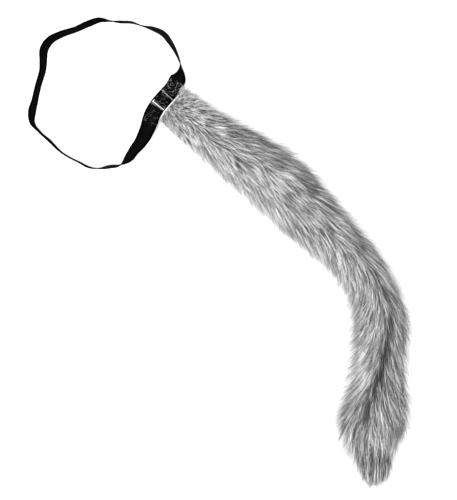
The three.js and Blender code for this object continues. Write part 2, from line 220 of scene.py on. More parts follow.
@dataclass
class Drift:
    """Smooth, repeatable wandering over a surface: a sum of waves, about -1.5 to 1.5."""

    seed: int
    wave_along: float
    wave_around: float
    waves: int = 7

    def at(self, along: np.ndarray, around: np.ndarray) -> np.ndarray:
        """Gives the wandering at places on the surface.

        Args:
            along: Metres along the surface.
            around: Metres round it.

        Returns:
            The wandering, in the shape that the two give together.
        """
        rng = np.random.default_rng(self.seed)
        total = np.zeros(np.broadcast(along, around).shape)
        for _ in range(self.waves):
            turn, size, phase = rng.uniform(0, FULL_TURN), rng.uniform(0.6, 1.6), rng.uniform(0, FULL_TURN)
            run = along * math.cos(turn) / self.wave_along + around * math.sin(turn) / self.wave_around
            total += np.sin(FULL_TURN * run / size + phase)
        return total / math.sqrt(self.waves / 2) * 0.7


@dataclass
class WaistLoop:
    """The course of the waistband as it lies, with the lap and the stretch that holds the hem."""

    radius: float = 89 * MM
    width: float = 20 * MM
    thickness: float = 1.3 * MM
    clearance: float = 0.3 * MM
    lap_length: float = 19 * MM
    lap_ramp: float = 11 * MM
    lift: float = 9.5 * MM
    flat_ease: float = 7 * MM
    step: float = 4 * MM
    hem_length: float = 47 * MM
    hem_bead: float = 2 * MM
    lap_turn: float = 1.2
    root_turn: float = -3.6
    samples: int = 1440
    shift: np.ndarray = field(default_factory=lambda: np.zeros(3))

    def __post_init__(self) -> None:
        """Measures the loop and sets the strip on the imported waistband's box."""
        self.table = SmoothTable(LOOP_COLUMNS, LOOP_ROWS, 360.0)
        self.turns = np.linspace(0, 360, self.samples + 1)
        steps = np.linalg.norm(np.diff(self.plan(self.turns), axis=0), axis=1)
        self.lengths = np.concatenate(([0], np.cumsum(steps)))
        self.girth = float(self.lengths[-1])
        self.step = self.girth / round(self.girth / self.step)
        self.lap_from = float(self.length_at(self.lap_turn)) - self.lap_length
        self.root = float(self.length_at(self.root_turn))
        lengths = np.arange(0, self.girth + self.lap_length, self.step)
        edges = np.array([-1, 1]) * self.width / 2
        corners = [self.strip(self.lap_from + lengths, a, b) for a in edges for b in edges * self.flatten]
        own_low = np.min(np.concatenate(corners), axis=0)
        self.shift = np.array([*(np.array(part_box("elastic_band")[0]) - own_low)[:2], 0])

    @property
    def flatten(self) -> float:
        """The strip's thickness as a share of its width."""
        return self.thickness / self.width

    def plan(self, turn: np.ndarray) -> np.ndarray:
        """Points of the loop's middle line.

        Args:
            turn: Degrees round the loop's middle.

        Returns:
            The points, at height 0.
        """
        reach = self.radius * self.table.at("reach", turn)
        angle = np.radians(turn)
        flat = np.stack((reach * np.cos(angle), reach * np.sin(angle), np.zeros_like(reach)), axis=-1)
        return flat + self.shift

    def length_at(self, turn: float) -> np.ndarray:
        """Length along the loop at a turn in degrees."""
        return np.floor(turn / 360) * self.girth + np.interp(np.mod(turn, 360), self.turns, self.lengths)

    def flatness(self, length: np.ndarray) -> np.ndarray:
        """How far the hem holds the strip flat.

        Args:
            length: Length along the loop.

        Returns:
            1 where the strip is held flat, and 0 where it lies as the table says.
        """
        half = self.girth / 2
        away = np.abs(np.mod(length - self.root + half, self.girth) - half)
        held = self.hem_length / 2 + self.step
        return 1 - smooth_step(away, held, held + self.flat_ease)

    def directions(self, length: np.ndarray) -> tuple[np.ndarray, ...]:
        """Finds how the strip lies.

        Args:
            length: Length along the loop.

        Returns:
            Points of its middle, and its outward, across and face directions there.
        """
        turn = np.interp(np.mod(length, self.girth), self.lengths, self.turns)
        flat = self.flatness(length)
        run = unit(self.plan(turn + 0.5) - self.plan(turn - 0.5))
        outward = np.stack((run[..., 1], -run[..., 0], np.zeros_like(turn)), axis=-1)
        lean = np.radians(self.table.at("lean", turn) * (1 - flat) + 90 * flat)
        lift = np.maximum(self.table.at("lift", turn), 0) * (1 - flat) + flat
        up = np.array([0.0, 0.0, 1.0])
        across = outward * np.sin(lean)[..., None] + up * np.cos(lean)[..., None]
        face = np.cross(across, run)
        middle = self.plan(turn)
        middle[..., 2] = (
            self.lift * lift
            + self.width / 2 * np.abs(across[..., 2])
            + self.thickness / 2 * np.abs(face[..., 2])
        )
        return middle, outward, across, face

    def strip(self, length: np.ndarray, across: np.ndarray, off: np.ndarray) -> np.ndarray:
        """Points in the strip's own directions.

        Args:
            length: Length along the loop.
            across: Place over the strip's width, outward from its middle.
            off: Height off the strip's middle layer, towards its face.

        Returns:
            The points, in the shape that the three give together.
        """
        length, across, off = np.broadcast_arrays(length, across, off)
        middle, _, over, face = self.directions(np.asarray(length, float))
        return middle + over * across[..., None] + face * off[..., None]

    def lap_lift(self, length: np.ndarray) -> np.ndarray:
        """How far the upper layer of the lap lies over the loop's own layer.

        Args:
            length: Length along the loop, of which one round counts.

        Returns:
            The height between the middles of the two layers.
        """
        run = np.mod(length - self.lap_from, self.girth)
        down = smooth_step(run, self.lap_length, self.lap_length + self.lap_ramp)
        return (self.thickness + self.clearance) * (1 - down)

    def beside(self, length: np.ndarray, out: float) -> tuple[np.ndarray, np.ndarray]:
        """Points in plan beside the strip, out from its middle, and their outward directions."""
        middle, outward, _, _ = self.directions(length)
        return (middle + outward * out) * (1, 1, 0), outward

    def beyond_hem(self, points: np.ndarray) -> tuple[np.ndarray, np.ndarray]:
        """Measures points against the hem's outer edge.

        Args:
            points: Array of points and 3.

        Returns:
            Distance of each point past the edge, and the direction away from the loop there.
        """
        lengths = self.root + np.linspace(-1.4, 0.9, 140) * self.hem_length
        edge, outward = self.beside(lengths, self.width / 2 + 2 * self.clearance + self.hem_bead)
        gaps = np.linalg.norm(points[:, None, :2] - edge[None, :, :2], axis=-1)
        nearest = np.argmin(gaps, axis=1)
        away = outward[nearest]
        return np.einsum("ij,ij->i", (points - edge[nearest])[:, :2], away[:, :2]), away


@dataclass
class TailForm:
    """The stuffed tail's form: its bend in plan and its section along it."""

    loop: WaistLoop
    length: float = 566 * MM
    width: float = 76 * MM
    height: float = 54 * MM
    top_power: float = 0.92
    under_power: float = 0.72
    root_drop: float = 57 * MM
    rise: float = 8 * MM
    sleeve_end: float = 0.954
    steps: int = 200

    def __post_init__(self) -> None:
        """Runs the middle line along its bends from the hem."""
        loop = self.loop
        self.table = SmoothTable(TAIL_COLUMNS, TAIL_ROWS)
        root = np.array([loop.root])
        start, outward = loop.beside(root, loop.width / 2 + loop.clearance + loop.hem_bead)
        leaving = math.atan2(outward[0, 1], outward[0, 0])
        middles = (np.arange(self.steps) + 0.5) / self.steps
        heading = leaving + np.radians(self.table.at("bend", middles))
        moves = np.stack((np.cos(heading), np.sin(heading), np.zeros(self.steps)), axis=-1)
        runs = np.cumsum(moves, axis=0) * self.length / self.steps
        self.line = np.concatenate((start, start + runs))

    def halves(self, along: np.ndarray) -> tuple[np.ndarray, np.ndarray]:
        """Half the width and half the height over the fur."""
        wide = self.width / 2 * self.table.at("width", along)
        return wide, self.height / 2 * self.table.at("height", along)

    def radius(self, along: np.ndarray) -> np.ndarray:
        """Mean radius of the section, to turn a length round it into an angle."""
        wide, high = self.halves(along)
        return (wide + high) / 2 * 0.93

    def point(self, along: np.ndarray, angle: np.ndarray, depth: np.ndarray) -> np.ndarray:
        """Points of the tail.

        Args:
            along: Share of the tail's length, which may run past its ends.
            angle: Radians round the section, 0 on the right side and a quarter turn at the top.
            depth: 0 on the fur's outline and 1 on the sleeve.

        Returns:
            The points, in the shape that the three give together.
        """
        along, angle, depth = np.broadcast_arrays(along, angle, depth)
        inset = depth * self.rise * self.table.at("pile", along)
        place = np.clip(along, 0, 1) * self.steps
        i = np.minimum(place.astype(int), self.steps - 1)
        step = self.line[i + 1] - self.line[i]
        ahead = unit(step)
        over = (along * self.steps - place) * self.length / self.steps
        middle = self.line[i] + step * (place - i)[..., None] + ahead * over[..., None]
        right = np.stack((ahead[..., 1], -ahead[..., 0], np.zeros_like(over)), axis=-1)
        wide, high = self.halves(along)
        rest = np.maximum(high, self.loop.lift * (1 - along * self.length / self.root_drop))
        cosine, sine = np.cos(angle), np.sin(angle)
        power = np.where(sine < 0, self.under_power, self.top_power)
        sideways = np.maximum(wide - inset, MM) * np.sign(cosine) * np.abs(cosine) ** power
        above = np.where(sine < 0, rest, np.maximum(high - inset, MM))
        middle = middle + right * sideways[..., None]
        middle[..., 2] = rest + above * np.sign(sine) * np.abs(sine) ** power
        return middle


@dataclass
class MeshParts:
    """Points, faces and point values of one piece, gathered before its mesh is made."""

    points: list[np.ndarray] = field(default_factory=list)
    quads: list[np.ndarray] = field(default_factory=list)
    triangles: list[np.ndarray] = field(default_factory=list)
    values: dict[str, list[np.ndarray]] = field(default_factory=dict)
    count: int = 0

    def add(
        self,
        points: np.ndarray,
        quads: np.ndarray | None = None,
        triangles: np.ndarray | None = None,
        **values: np.ndarray,
    ) -> None:
        """Adds one run of points with its faces.

        Args:
            points: The points, in any shape that ends in 3.
            quads: Corners of its quads, counted from this run's first point.
            triangles: Corners of its triangles, counted in the same way.
            values: Values for each point.
        """
        points = points.reshape(-1, 3)
        if quads is not None:
            self.quads.append(quads.reshape(-1, 4) + self.count)
        if triangles is not None:
            self.triangles.append(triangles.reshape(-1, 3) + self.count)
        for name, value in values.items():
            self.values.setdefault(name, []).append(np.asarray(value, float))
        self.points.append(points)
        self.count += len(points)

    def grid(self, points: np.ndarray, closed: bool, caps: bool, **values: np.ndarray) -> None:
        """Adds rows of points joined by quads.

        Args:
            points: Array of rows, columns and 3.
            closed: Whether each row closes on itself.
            caps: Whether fans from the middle close the first and last rows.
            values: Values for each point, in the shape of rows and columns.
        """
        rows, columns = points.shape[:2]
        last = columns if closed else columns - 1
        i, k = np.meshgrid(np.arange(rows - 1), np.arange(last), indexing="ij")
        here, beside = i * columns + k, i * columns + (k + 1) % columns
        quads = np.stack((here, beside, beside + columns, here + columns), axis=-1)
        flat = {name: value.reshape(rows * columns, -1).squeeze(-1) for name, value in values.items()}
        if not caps:
            self.add(points, quads, **flat)
            return
        total = rows * columns
        ring = np.arange(columns)
        after = (ring + 1) % columns
        first = np.stack((np.full(columns, total), after, ring), axis=-1)
        far = total - columns
        final = np.stack((np.full(columns, total + 1), far + ring, far + after), axis=-1)
        middles = points[[0, -1]].mean(axis=1)
        ends = {n: np.concatenate((v, v[[0]], v[[-1]])) for n, v in flat.items()}
        everything = np.concatenate((points.reshape(-1, 3), middles))
        self.add(everything, quads, np.concatenate((first, final)), **ends)

    def tubes(self, paths: np.ndarray, radius: np.ndarray | float, sides: int, **values: Any) -> None:
        """Adds a round thread along each path.

        Args:
            paths: Array of threads, points and 3.
            radius: Radius of the threads, as one number or for each thread and point.
            sides: Corners of their section.
            values: One value for each thread.
        """
        threads, count = paths.shape[:2]
        run = unit(np.gradient(paths, axis=1))
        hint = np.where(np.abs(run[..., 2:]) > 0.9, (1.0, 0, 0), (0, 0, 1.0))
        side = unit(np.cross(run, hint))
        rise = np.cross(side, run)
        turn = np.arange(sides) * FULL_TURN / sides
        radius = np.broadcast_to(np.asarray(radius, float), (threads, count))[..., None, None]
        rings = paths[:, :, None] + radius * (
            side[:, :, None] * np.cos(turn)[:, None] + rise[:, :, None] * np.sin(turn)[:, None]
        )
        for k in range(threads):
            own = {name: np.full((count, sides), value[k]) for name, value in values.items()}
            self.grid(rings[k], closed=True, caps=True, **own)

    def build(self, name: str, material: bpy.types.Material, smooth: bool = True) -> bpy.types.Object:
        """Makes the object and links it to the scene.

        Args:
            name: Name of the piece.
            material: Its finish.
            smooth: Whether its faces are shaded smooth.

        Returns:
            The new object.
        """
        points = np.concatenate(self.points)
        quads = np.concatenate(self.quads) if self.quads else np.zeros((0, 4), int)
        triangles = np.concatenate(self.triangles) if self.triangles else np.zeros((0, 3), int)
        mesh = bpy.data.meshes.new(name)
        mesh.vertices.add(len(points))
        mesh.vertices.foreach_set("co", points.astype(np.float32).ravel())
        corners = np.concatenate((quads.ravel(), triangles.ravel())).astype(np.int32)
        mesh.loops.add(len(corners))
        mesh.loops.foreach_set("vertex_index", corners)
        starts = np.concatenate((np.arange(len(quads)) * 4, quads.size + np.arange(len(triangles)) * 3))
        mesh.polygons.add(len(starts))
        mesh.polygons.foreach_set("loop_start", starts.astype(np.int32))
        mesh.update(calc_edges=True)
        for key, runs in self.values.items():
            whole = np.concatenate([run.ravel() for run in runs])
            mesh.attributes.new(key, "FLOAT", "POINT").data.foreach_set("value", whole.astype(np.float32))
        if smooth:
            mesh.shade_smooth()
        mesh.materials.append(material)
        piece = bpy.data.objects.new(name, mesh)
        bpy.context.scene.collection.objects.link(piece)
        return piece


class NodeSheet:
    """Adds nodes to one tree and links them; plain numbers and colours may stand for a socket."""

    def __init__(self, tree: bpy.types.NodeTree) -> None:
        """Keeps the tree that the nodes go into."""
        self.tree = tree

    def add(self, kind: str, inputs: dict[Any, Any] | None = None, **settings: Any) -> bpy.types.Node:
        """Adds one node.

        Args:
            kind: Blender's name for the node.
            inputs: Values or sockets for its inputs, by name or number.
            settings: The node's own settings.

        Returns:
            The new node.
        """
        node = self.tree.nodes.new(kind)
        for name, value in settings.items():
            setattr(node, name, value)
        for key, value in (inputs or {}).items():
            if isinstance(value, bpy.types.NodeSocket):
                self.tree.links.new(value, node.inputs[key])
            else:
                node.inputs[key].default_value = value
        return node

    def maths(self, operation: str, first: Any, second: Any = 0.0) -> bpy.types.NodeSocket:
        """Puts two values through one operation."""
        return self.add("ShaderNodeMath", {0: first, 1: second}, operation=operation).outputs[0]

    def spread(
        self,
        value: Any,
        low: float,
        high: float,
        to_low: float,
        to_high: float,
    ) -> bpy.types.NodeSocket:
        """Maps a value from one range to another, kept within it."""
        inputs = {"Value": value, "From Min": low, "From Max": high, "To Min": to_low, "To Max": to_high}
        return self.add("ShaderNodeMapRange", inputs).outputs[0]

    def blend(self, share: Any, first: Any, second: Any) -> bpy.types.NodeSocket:
        """Mixes two colours."""
        return self.add("ShaderNodeMix", {0: share, 6: first, 7: second}, data_type="RGBA").outputs[2]

    def value(self, name: str) -> bpy.types.NodeSocket:
        """Reads a point value of the mesh."""
        return self.add("ShaderNodeAttribute", attribute_name=name).outputs["Fac"]

    def place(self, effect: bpy.types.NodeTree, inputs: dict[str, Any]) -> bpy.types.Node:
        """Places a shared effect with its own values."""
        return self.add("ShaderNodeGroup", inputs, node_tree=effect)

    def feed(self, source: bpy.types.NodeSocket, target: bpy.types.NodeSocket) -> None:
        """Links a value to another node's socket."""
        self.tree.links.new(source, target)

    def bump(self, shader: bpy.types.Node, height: Any, strength: float, distance: float) -> None:
        """Raises the surface by a height, through the shader's Normal."""
        inputs = {"Height": height, "Strength": strength, "Distance": distance}
        self.feed(self.add("ShaderNodeBump", inputs).outputs[0], shader.inputs["Normal"])


def new_effect(
    name: str,
    takes: dict[str, str],
    gives: dict[str, str],
) -> tuple[bpy.types.NodeTree, bpy.types.Node, bpy.types.Node]:
    """Starts a shared effect.

    Args:
        name: Name of the node group.
        takes: Its inputs, with the socket type of each.
        gives: Its outputs, with the socket type of each.

    Returns:
        The group, its input node and its output node.
    """
    tree = bpy.data.node_groups.new(name, "ShaderNodeTree")
    for key, kind in takes.items():
        tree.interface.new_socket(key, in_out="INPUT", socket_type=f"NodeSocket{kind}")
    for key, kind in gives.items():
        tree.interface.new_socket(key, in_out="OUTPUT", socket_type=f"NodeSocket{kind}")
    return tree, tree.nodes.new("NodeGroupInput"), tree.nodes.new("NodeGroupOutput")


class Effects:
    """The effects that several finishes share."""

    def __init__(self) -> None:
        """Builds each effect once."""
        self.fibres = self.build_fibres()
        self.weave = self.build_weave()

    @staticmethod
    def build_fibres() -> bpy.types.NodeTree:
        """Fine uneven fibres, from the object's place.

        Returns:
            The group, which gives a mask of streaks and one of broad patches.
        """
        takes = {"Fineness": "Float", "Patch size": "Float"}
        tree, given, result = new_effect("fibre_streaks", takes, {"Streaks": "Float", "Patches": "Float"})
        sheet = NodeSheet(tree)
        place = sheet.add("ShaderNodeTexCoord").outputs["Object"]
        for source, mask, detail in (("Fineness", "Streaks", 3.0), ("Patch size", "Patches", 2.0)):
            inputs = {"Vector": place, "Scale": given.outputs[source], "Detail": detail}
            noise = sheet.add("ShaderNodeTexNoise", inputs)
            sheet.feed(sheet.spread(noise.outputs["Fac"], 0.3, 0.7, 0, 1), result.inputs[mask])
        return tree

    @staticmethod
    def build_weave() -> bpy.types.NodeTree:
        """Threads that cross, from a piece's own length and across values.

        Returns:
            The group, which gives the height of the threads and a mask of diagonal twill lines.
        """
        takes = {"Length": "Float", "Across": "Float", "Pitch": "Float"}
        tree, given, result = new_effect("crossing_threads", takes, {"Threads": "Float", "Twill": "Float"})
        sheet = NodeSheet(tree)
        rate = sheet.maths("DIVIDE", FULL_TURN, given.outputs["Pitch"])
        over = sheet.maths("MULTIPLY", given.outputs["Across"], rate)
        run = sheet.maths("MULTIPLY", given.outputs["Length"], rate)
        warp = sheet.maths("ABSOLUTE", sheet.maths("SINE", over))
        weft = sheet.maths("ABSOLUTE", sheet.maths("SINE", run))
        twill = sheet.maths("SINE", sheet.maths("ADD", over, sheet.maths("MULTIPLY", run, 0.5)))
        threads = sheet.maths("MULTIPLY", sheet.maths("ADD", warp, weft), 0.5)
        sheet.feed(threads, result.inputs["Threads"])
        sheet.feed(sheet.spread(twill, -1, 1, 0, 1), result.inputs["Twill"])
        return tree


def grey(tone: float) -> tuple[float, float, float, float]:
    """A neutral colour of a linear tone."""
    return (tone, tone, tone, 1.0)


def new_material(name: str, roughness: float, **fixed: Any) -> tuple[bpy.types.Material, NodeSheet, Any]:
    """Starts a material with one Principled shader.

    Args:
        name: Name of the finish.
        roughness: Its roughness, where nothing feeds that socket.
        fixed: Values that are the same all over, by socket name with underscores for spaces.

    Returns:
        The material, its node sheet and its Principled node.
    """
    material = bpy.data.materials.new(name)
    material.use_nodes = True
    shader = material.node_tree.nodes["Principled BSDF"]
    shader.inputs["Roughness"].default_value = roughness
    for key, value in fixed.items():
        shader.inputs[key.replace("_", " ")].default_value = value
    return material, NodeSheet(material.node_tree), shader


@dataclass(frozen=True)
class WovenElastic:
    """Black woven elastic: matt selvedges, a satin middle with a painted diagonal sheen, and an outside
    face painted paler as sheen.
    """

    selvedge: float = 0.0004
    # tone of the satin middle's painted sheen
    painted_satin_sheen: float = 0.005
    # tone of the outside face, painted paler as sheen
    outside_sheen: float = 0.006
    satin_reach: float = 7.0
    satin_fade: float = 2.0
    thread_pitch: float = 1.1
    fineness: float = 900.0
    patch_size: float = 40.0
    roughness: float = 0.6
    gaps_to_threads: tuple[float, float] = (0.75, 0.48)
    thread_height: float = 0.12 * MM

    def material(self, effects: Effects) -> bpy.types.Material:
        """Builds the material; the strip's own length, across and side values drive it.

        Args:
            effects: The shared effects.

        Returns:
            The material.
        """
        made, sheet, shader = new_material("woven_elastic", self.roughness, Specular_IOR_Level=0.0)
        across = sheet.value("across")
        inputs = {"Length": sheet.value("run"), "Across": across, "Pitch": self.thread_pitch}
        weave = sheet.place(effects.weave, inputs)
        threads = weave.outputs["Threads"]
        fibres = sheet.place(effects.fibres, {"Fineness": self.fineness, "Patch size": self.patch_size})
        reach, fade = self.satin_reach, self.satin_fade
        middle = sheet.spread(sheet.maths("ABSOLUTE", across), reach - fade, reach + fade, 1, 0)
        # Painted sheen: the satin middle's diagonal sheen is painted into the base colour.
        sheen = sheet.maths("MULTIPLY", middle, weave.outputs["Twill"])
        sheen = sheet.maths("MULTIPLY", sheen, sheet.spread(fibres.outputs["Patches"], 0, 1, 0.4, 1))
        inner = sheet.blend(sheen, grey(self.selvedge), grey(self.painted_satin_sheen))
        lit = sheet.spread(threads, 0.2, 0.9, 0.25, 1)
        # Painted sheen: the outside face is painted paler, as sheen where it meets grazing light.
        outer = sheet.blend(lit, grey(self.selvedge), grey(self.outside_sheen))
        sheet.feed(sheet.blend(sheet.value("outside_sheen"), inner, outer), shader.inputs["Base Color"])
        sheet.feed(sheet.spread(threads, 0, 1, *self.gaps_to_threads), shader.inputs["Roughness"])
        height = sheet.maths("ADD", threads, sheet.maths("MULTIPLY", fibres.outputs["Streaks"], 0.3))
        sheet.bump(shader, height, 0.5, self.thread_height)
        return made


@dataclass(frozen=True)
class SewingThread:
    """Twisted white thread, a little soiled in places."""

    clean: float = 0.8
    soiled: float = 0.03
    fineness: float = 2500.0
    patch_size: float = 250.0
    roughness: float = 0.6
    fibre_height: float = 0.05 * MM

    def material(self, effects: Effects) -> bpy.types.Material:
        """Builds the material; each thread's own value sets how pale it is.

        Args:
            effects: The shared effects.

        Returns:
            The material.
        """
        made, sheet, shader = new_material("sewing_thread", self.roughness, Specular_IOR_Level=0.3)
        fibres = sheet.place(effects.fibres, {"Fineness": self.fineness, "Patch size": self.patch_size})
        wear = sheet.spread(fibres.outputs["Patches"], 0, 1, 0.75, 1)
        share = sheet.maths("MULTIPLY", wear, sheet.value("pale"))
        sheet.feed(sheet.blend(share, grey(self.soiled), grey(self.clean)), shader.inputs["Base Color"])
        sheet.bump(shader, fibres.outputs["Streaks"], 0.5, self.fibre_height)
        return made


@dataclass(frozen=True)
class KnittedBacking:
    """White knitted backing of the fur, matt, with fine loops."""

    pale: float = 0.6
    shaded: float = 0.4
    loop_pitch: float = 0.9
    fineness: float = 1400.0
    patch_size: float = 90.0
    roughness: float = 0.9
    loop_height: float = 0.15 * MM

    def material(self, effects: Effects) -> bpy.types.Material:
        """Builds the material; the hem's own length and across values drive the knit.

        Args:
            effects: The shared effects.

        Returns:
            The material.
        """
        made, sheet, shader = new_material("knitted_backing", self.roughness, Specular_IOR_Level=0.15)
        inputs = {"Length": sheet.value("run"), "Across": sheet.value("across"), "Pitch": self.loop_pitch}
        loops = sheet.place(effects.weave, inputs).outputs["Threads"]
        fibres = sheet.place(effects.fibres, {"Fineness": self.fineness, "Patch size": self.patch_size})
        patches = sheet.spread(fibres.outputs["Patches"], 0, 1, 0.85, 1)
        lit = sheet.maths("MULTIPLY", sheet.spread(loops, 0, 0.8, 0.6, 1), patches)
        sheet.feed(sheet.blend(lit, grey(self.shaded), grey(self.pale)), shader.inputs["Base Color"])
        sheet.bump(shader, loops, 0.5, self.loop_height)
        return made


@dataclass(frozen=True)
class FurSkin:
    """Short dense undercoat on the sleeve, dark under the long pile as painted shade between the strands,
    and pale at the bare end.
    """

    # dark: painted shade, standing for the shade between the strands that shows over the sleeve
    dark: float = 0.02
    pale: float = 0.12
    bare: float = 0.4
    fineness: float = 1100.0
    patch_size: float = 60.0
    roughness: float = 0.95
    fibre_height: float = 0.5 * MM

    def material(self, effects: Effects) -> bpy.types.Material:
        """Builds the material from fine fibres over broad patches.

        Args:
            effects: The shared effects.

        Returns:
            The material.
        """
        made, sheet, shader = new_material("undercoat_and_painted_shade", self.roughness, Specular_IOR_Level=0.1)
        fibres = sheet.place(effects.fibres, {"Fineness": self.fineness, "Patch size": self.patch_size})
        streaks = fibres.outputs["Streaks"]
        share = sheet.maths("MULTIPLY", streaks, sheet.spread(fibres.outputs["Patches"], 0, 1, 0.5, 1))
        # Painted shade: the dark tone stands for the shade that shows between the strands.
        covered = sheet.blend(share, grey(self.dark), grey(self.pale))
        colour = sheet.blend(sheet.value("bare"), covered, grey(self.bare))
        sheet.feed(colour, shader.inputs["Base Color"])
        sheet.bump(shader, streaks, 0.8, self.fibre_height)
        return made


@dataclass(frozen=True)
class FurPile:
    """Long grey faux-fur hair: dark at its root, partly its own colour and partly painted shade, and paler
    and slightly glossy to its tip.
    """

    # root: colour at tone 0, which the painted shade at the strands' roots reaches
    root: float = 0.012
    tip: float = 0.85
    fineness: float = 1600.0
    patch_size: float = 30.0
    roughness: float = 0.55
    streaked: tuple[float, float] = (0.62, 0.45)

    def material(self, effects: Effects) -> bpy.types.Material:
        """Builds the material; each strand's tone value sets how pale it is.

        Args:
            effects: The shared effects.

        Returns:
            The material.
        """
        made, sheet, shader = new_material("fur_pile", self.roughness, Specular_IOR_Level=0.2)
        fibres = sheet.place(effects.fibres, {"Fineness": self.fineness, "Patch size": self.patch_size})
        streaks = fibres.outputs["Streaks"]
        worn = sheet.spread(streaks, 0, 1, 0.82, 1)
        patch = sheet.spread(fibres.outputs["Patches"], 0, 1, 0.92, 1)
        share = sheet.maths("MULTIPLY", sheet.maths("MULTIPLY", sheet.value("tone"), worn), patch)
        sheet.feed(sheet.blend(share, grey(self.root), grey(self.tip)), shader.inputs["Base Color"])
        sheet.feed(sheet.spread(streaks, 0, 1, *self.streaked), shader.inputs["Roughness"])
        return made


class Slot(Enum):
    """Names of three material slots."""

    ELASTIC = "elastic"
    BACKING = "backing"
    FUR = "fur"


def finish_piece(piece: bpy.types.Object, replaces: str = "") -> bpy.types.Object:
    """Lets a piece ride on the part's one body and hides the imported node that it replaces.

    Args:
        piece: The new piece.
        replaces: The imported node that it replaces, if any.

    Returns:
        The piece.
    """
    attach(piece, "root")
    if replaces:
        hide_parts(replaces)
    triangles = sum(len(face.vertices) - 2 for face in piece.data.polygons)
    LOG.info("%s: %d triangles", piece.name, triangles)
    return piece


@dataclass(frozen=True)
class StitchRow:
    """A zigzag row over the strip: millimetres from the hem's middle and over the strip's width."""

    place: float
    start: float
    stop: float
    pale: float
    wide: float
    thick: float


@dataclass(frozen=True)
class HairZone:
    """A stretch of the strip that stray hairs cling to, in millimetres from the hem's middle."""

    low: float
    high: float
    count: int
    pale: float


STITCH_ROWS = (
    StitchRow(6.7, -9.3, 9.3, pale=0.62, wide=0.75, thick=0.8),
    StitchRow(-10.0, -7.7, 9.2, pale=1.0, wide=1.0, thick=1.4),
    StitchRow(25.4, -0.5, 9.4, pale=0.16, wide=0.35, thick=0.6),
    StitchRow(-33.0, 1.5, 9.4, pale=0.1, wide=0.35, thick=0.6),
)
HAIR_ZONES = (
    HairZone(7.5, 27.5, 66, pale=0.58),
    HairZone(-9.5, 6.5, 28, pale=0.48),
    HairZone(-36.0, -12.0, 26, pale=0.28),
)


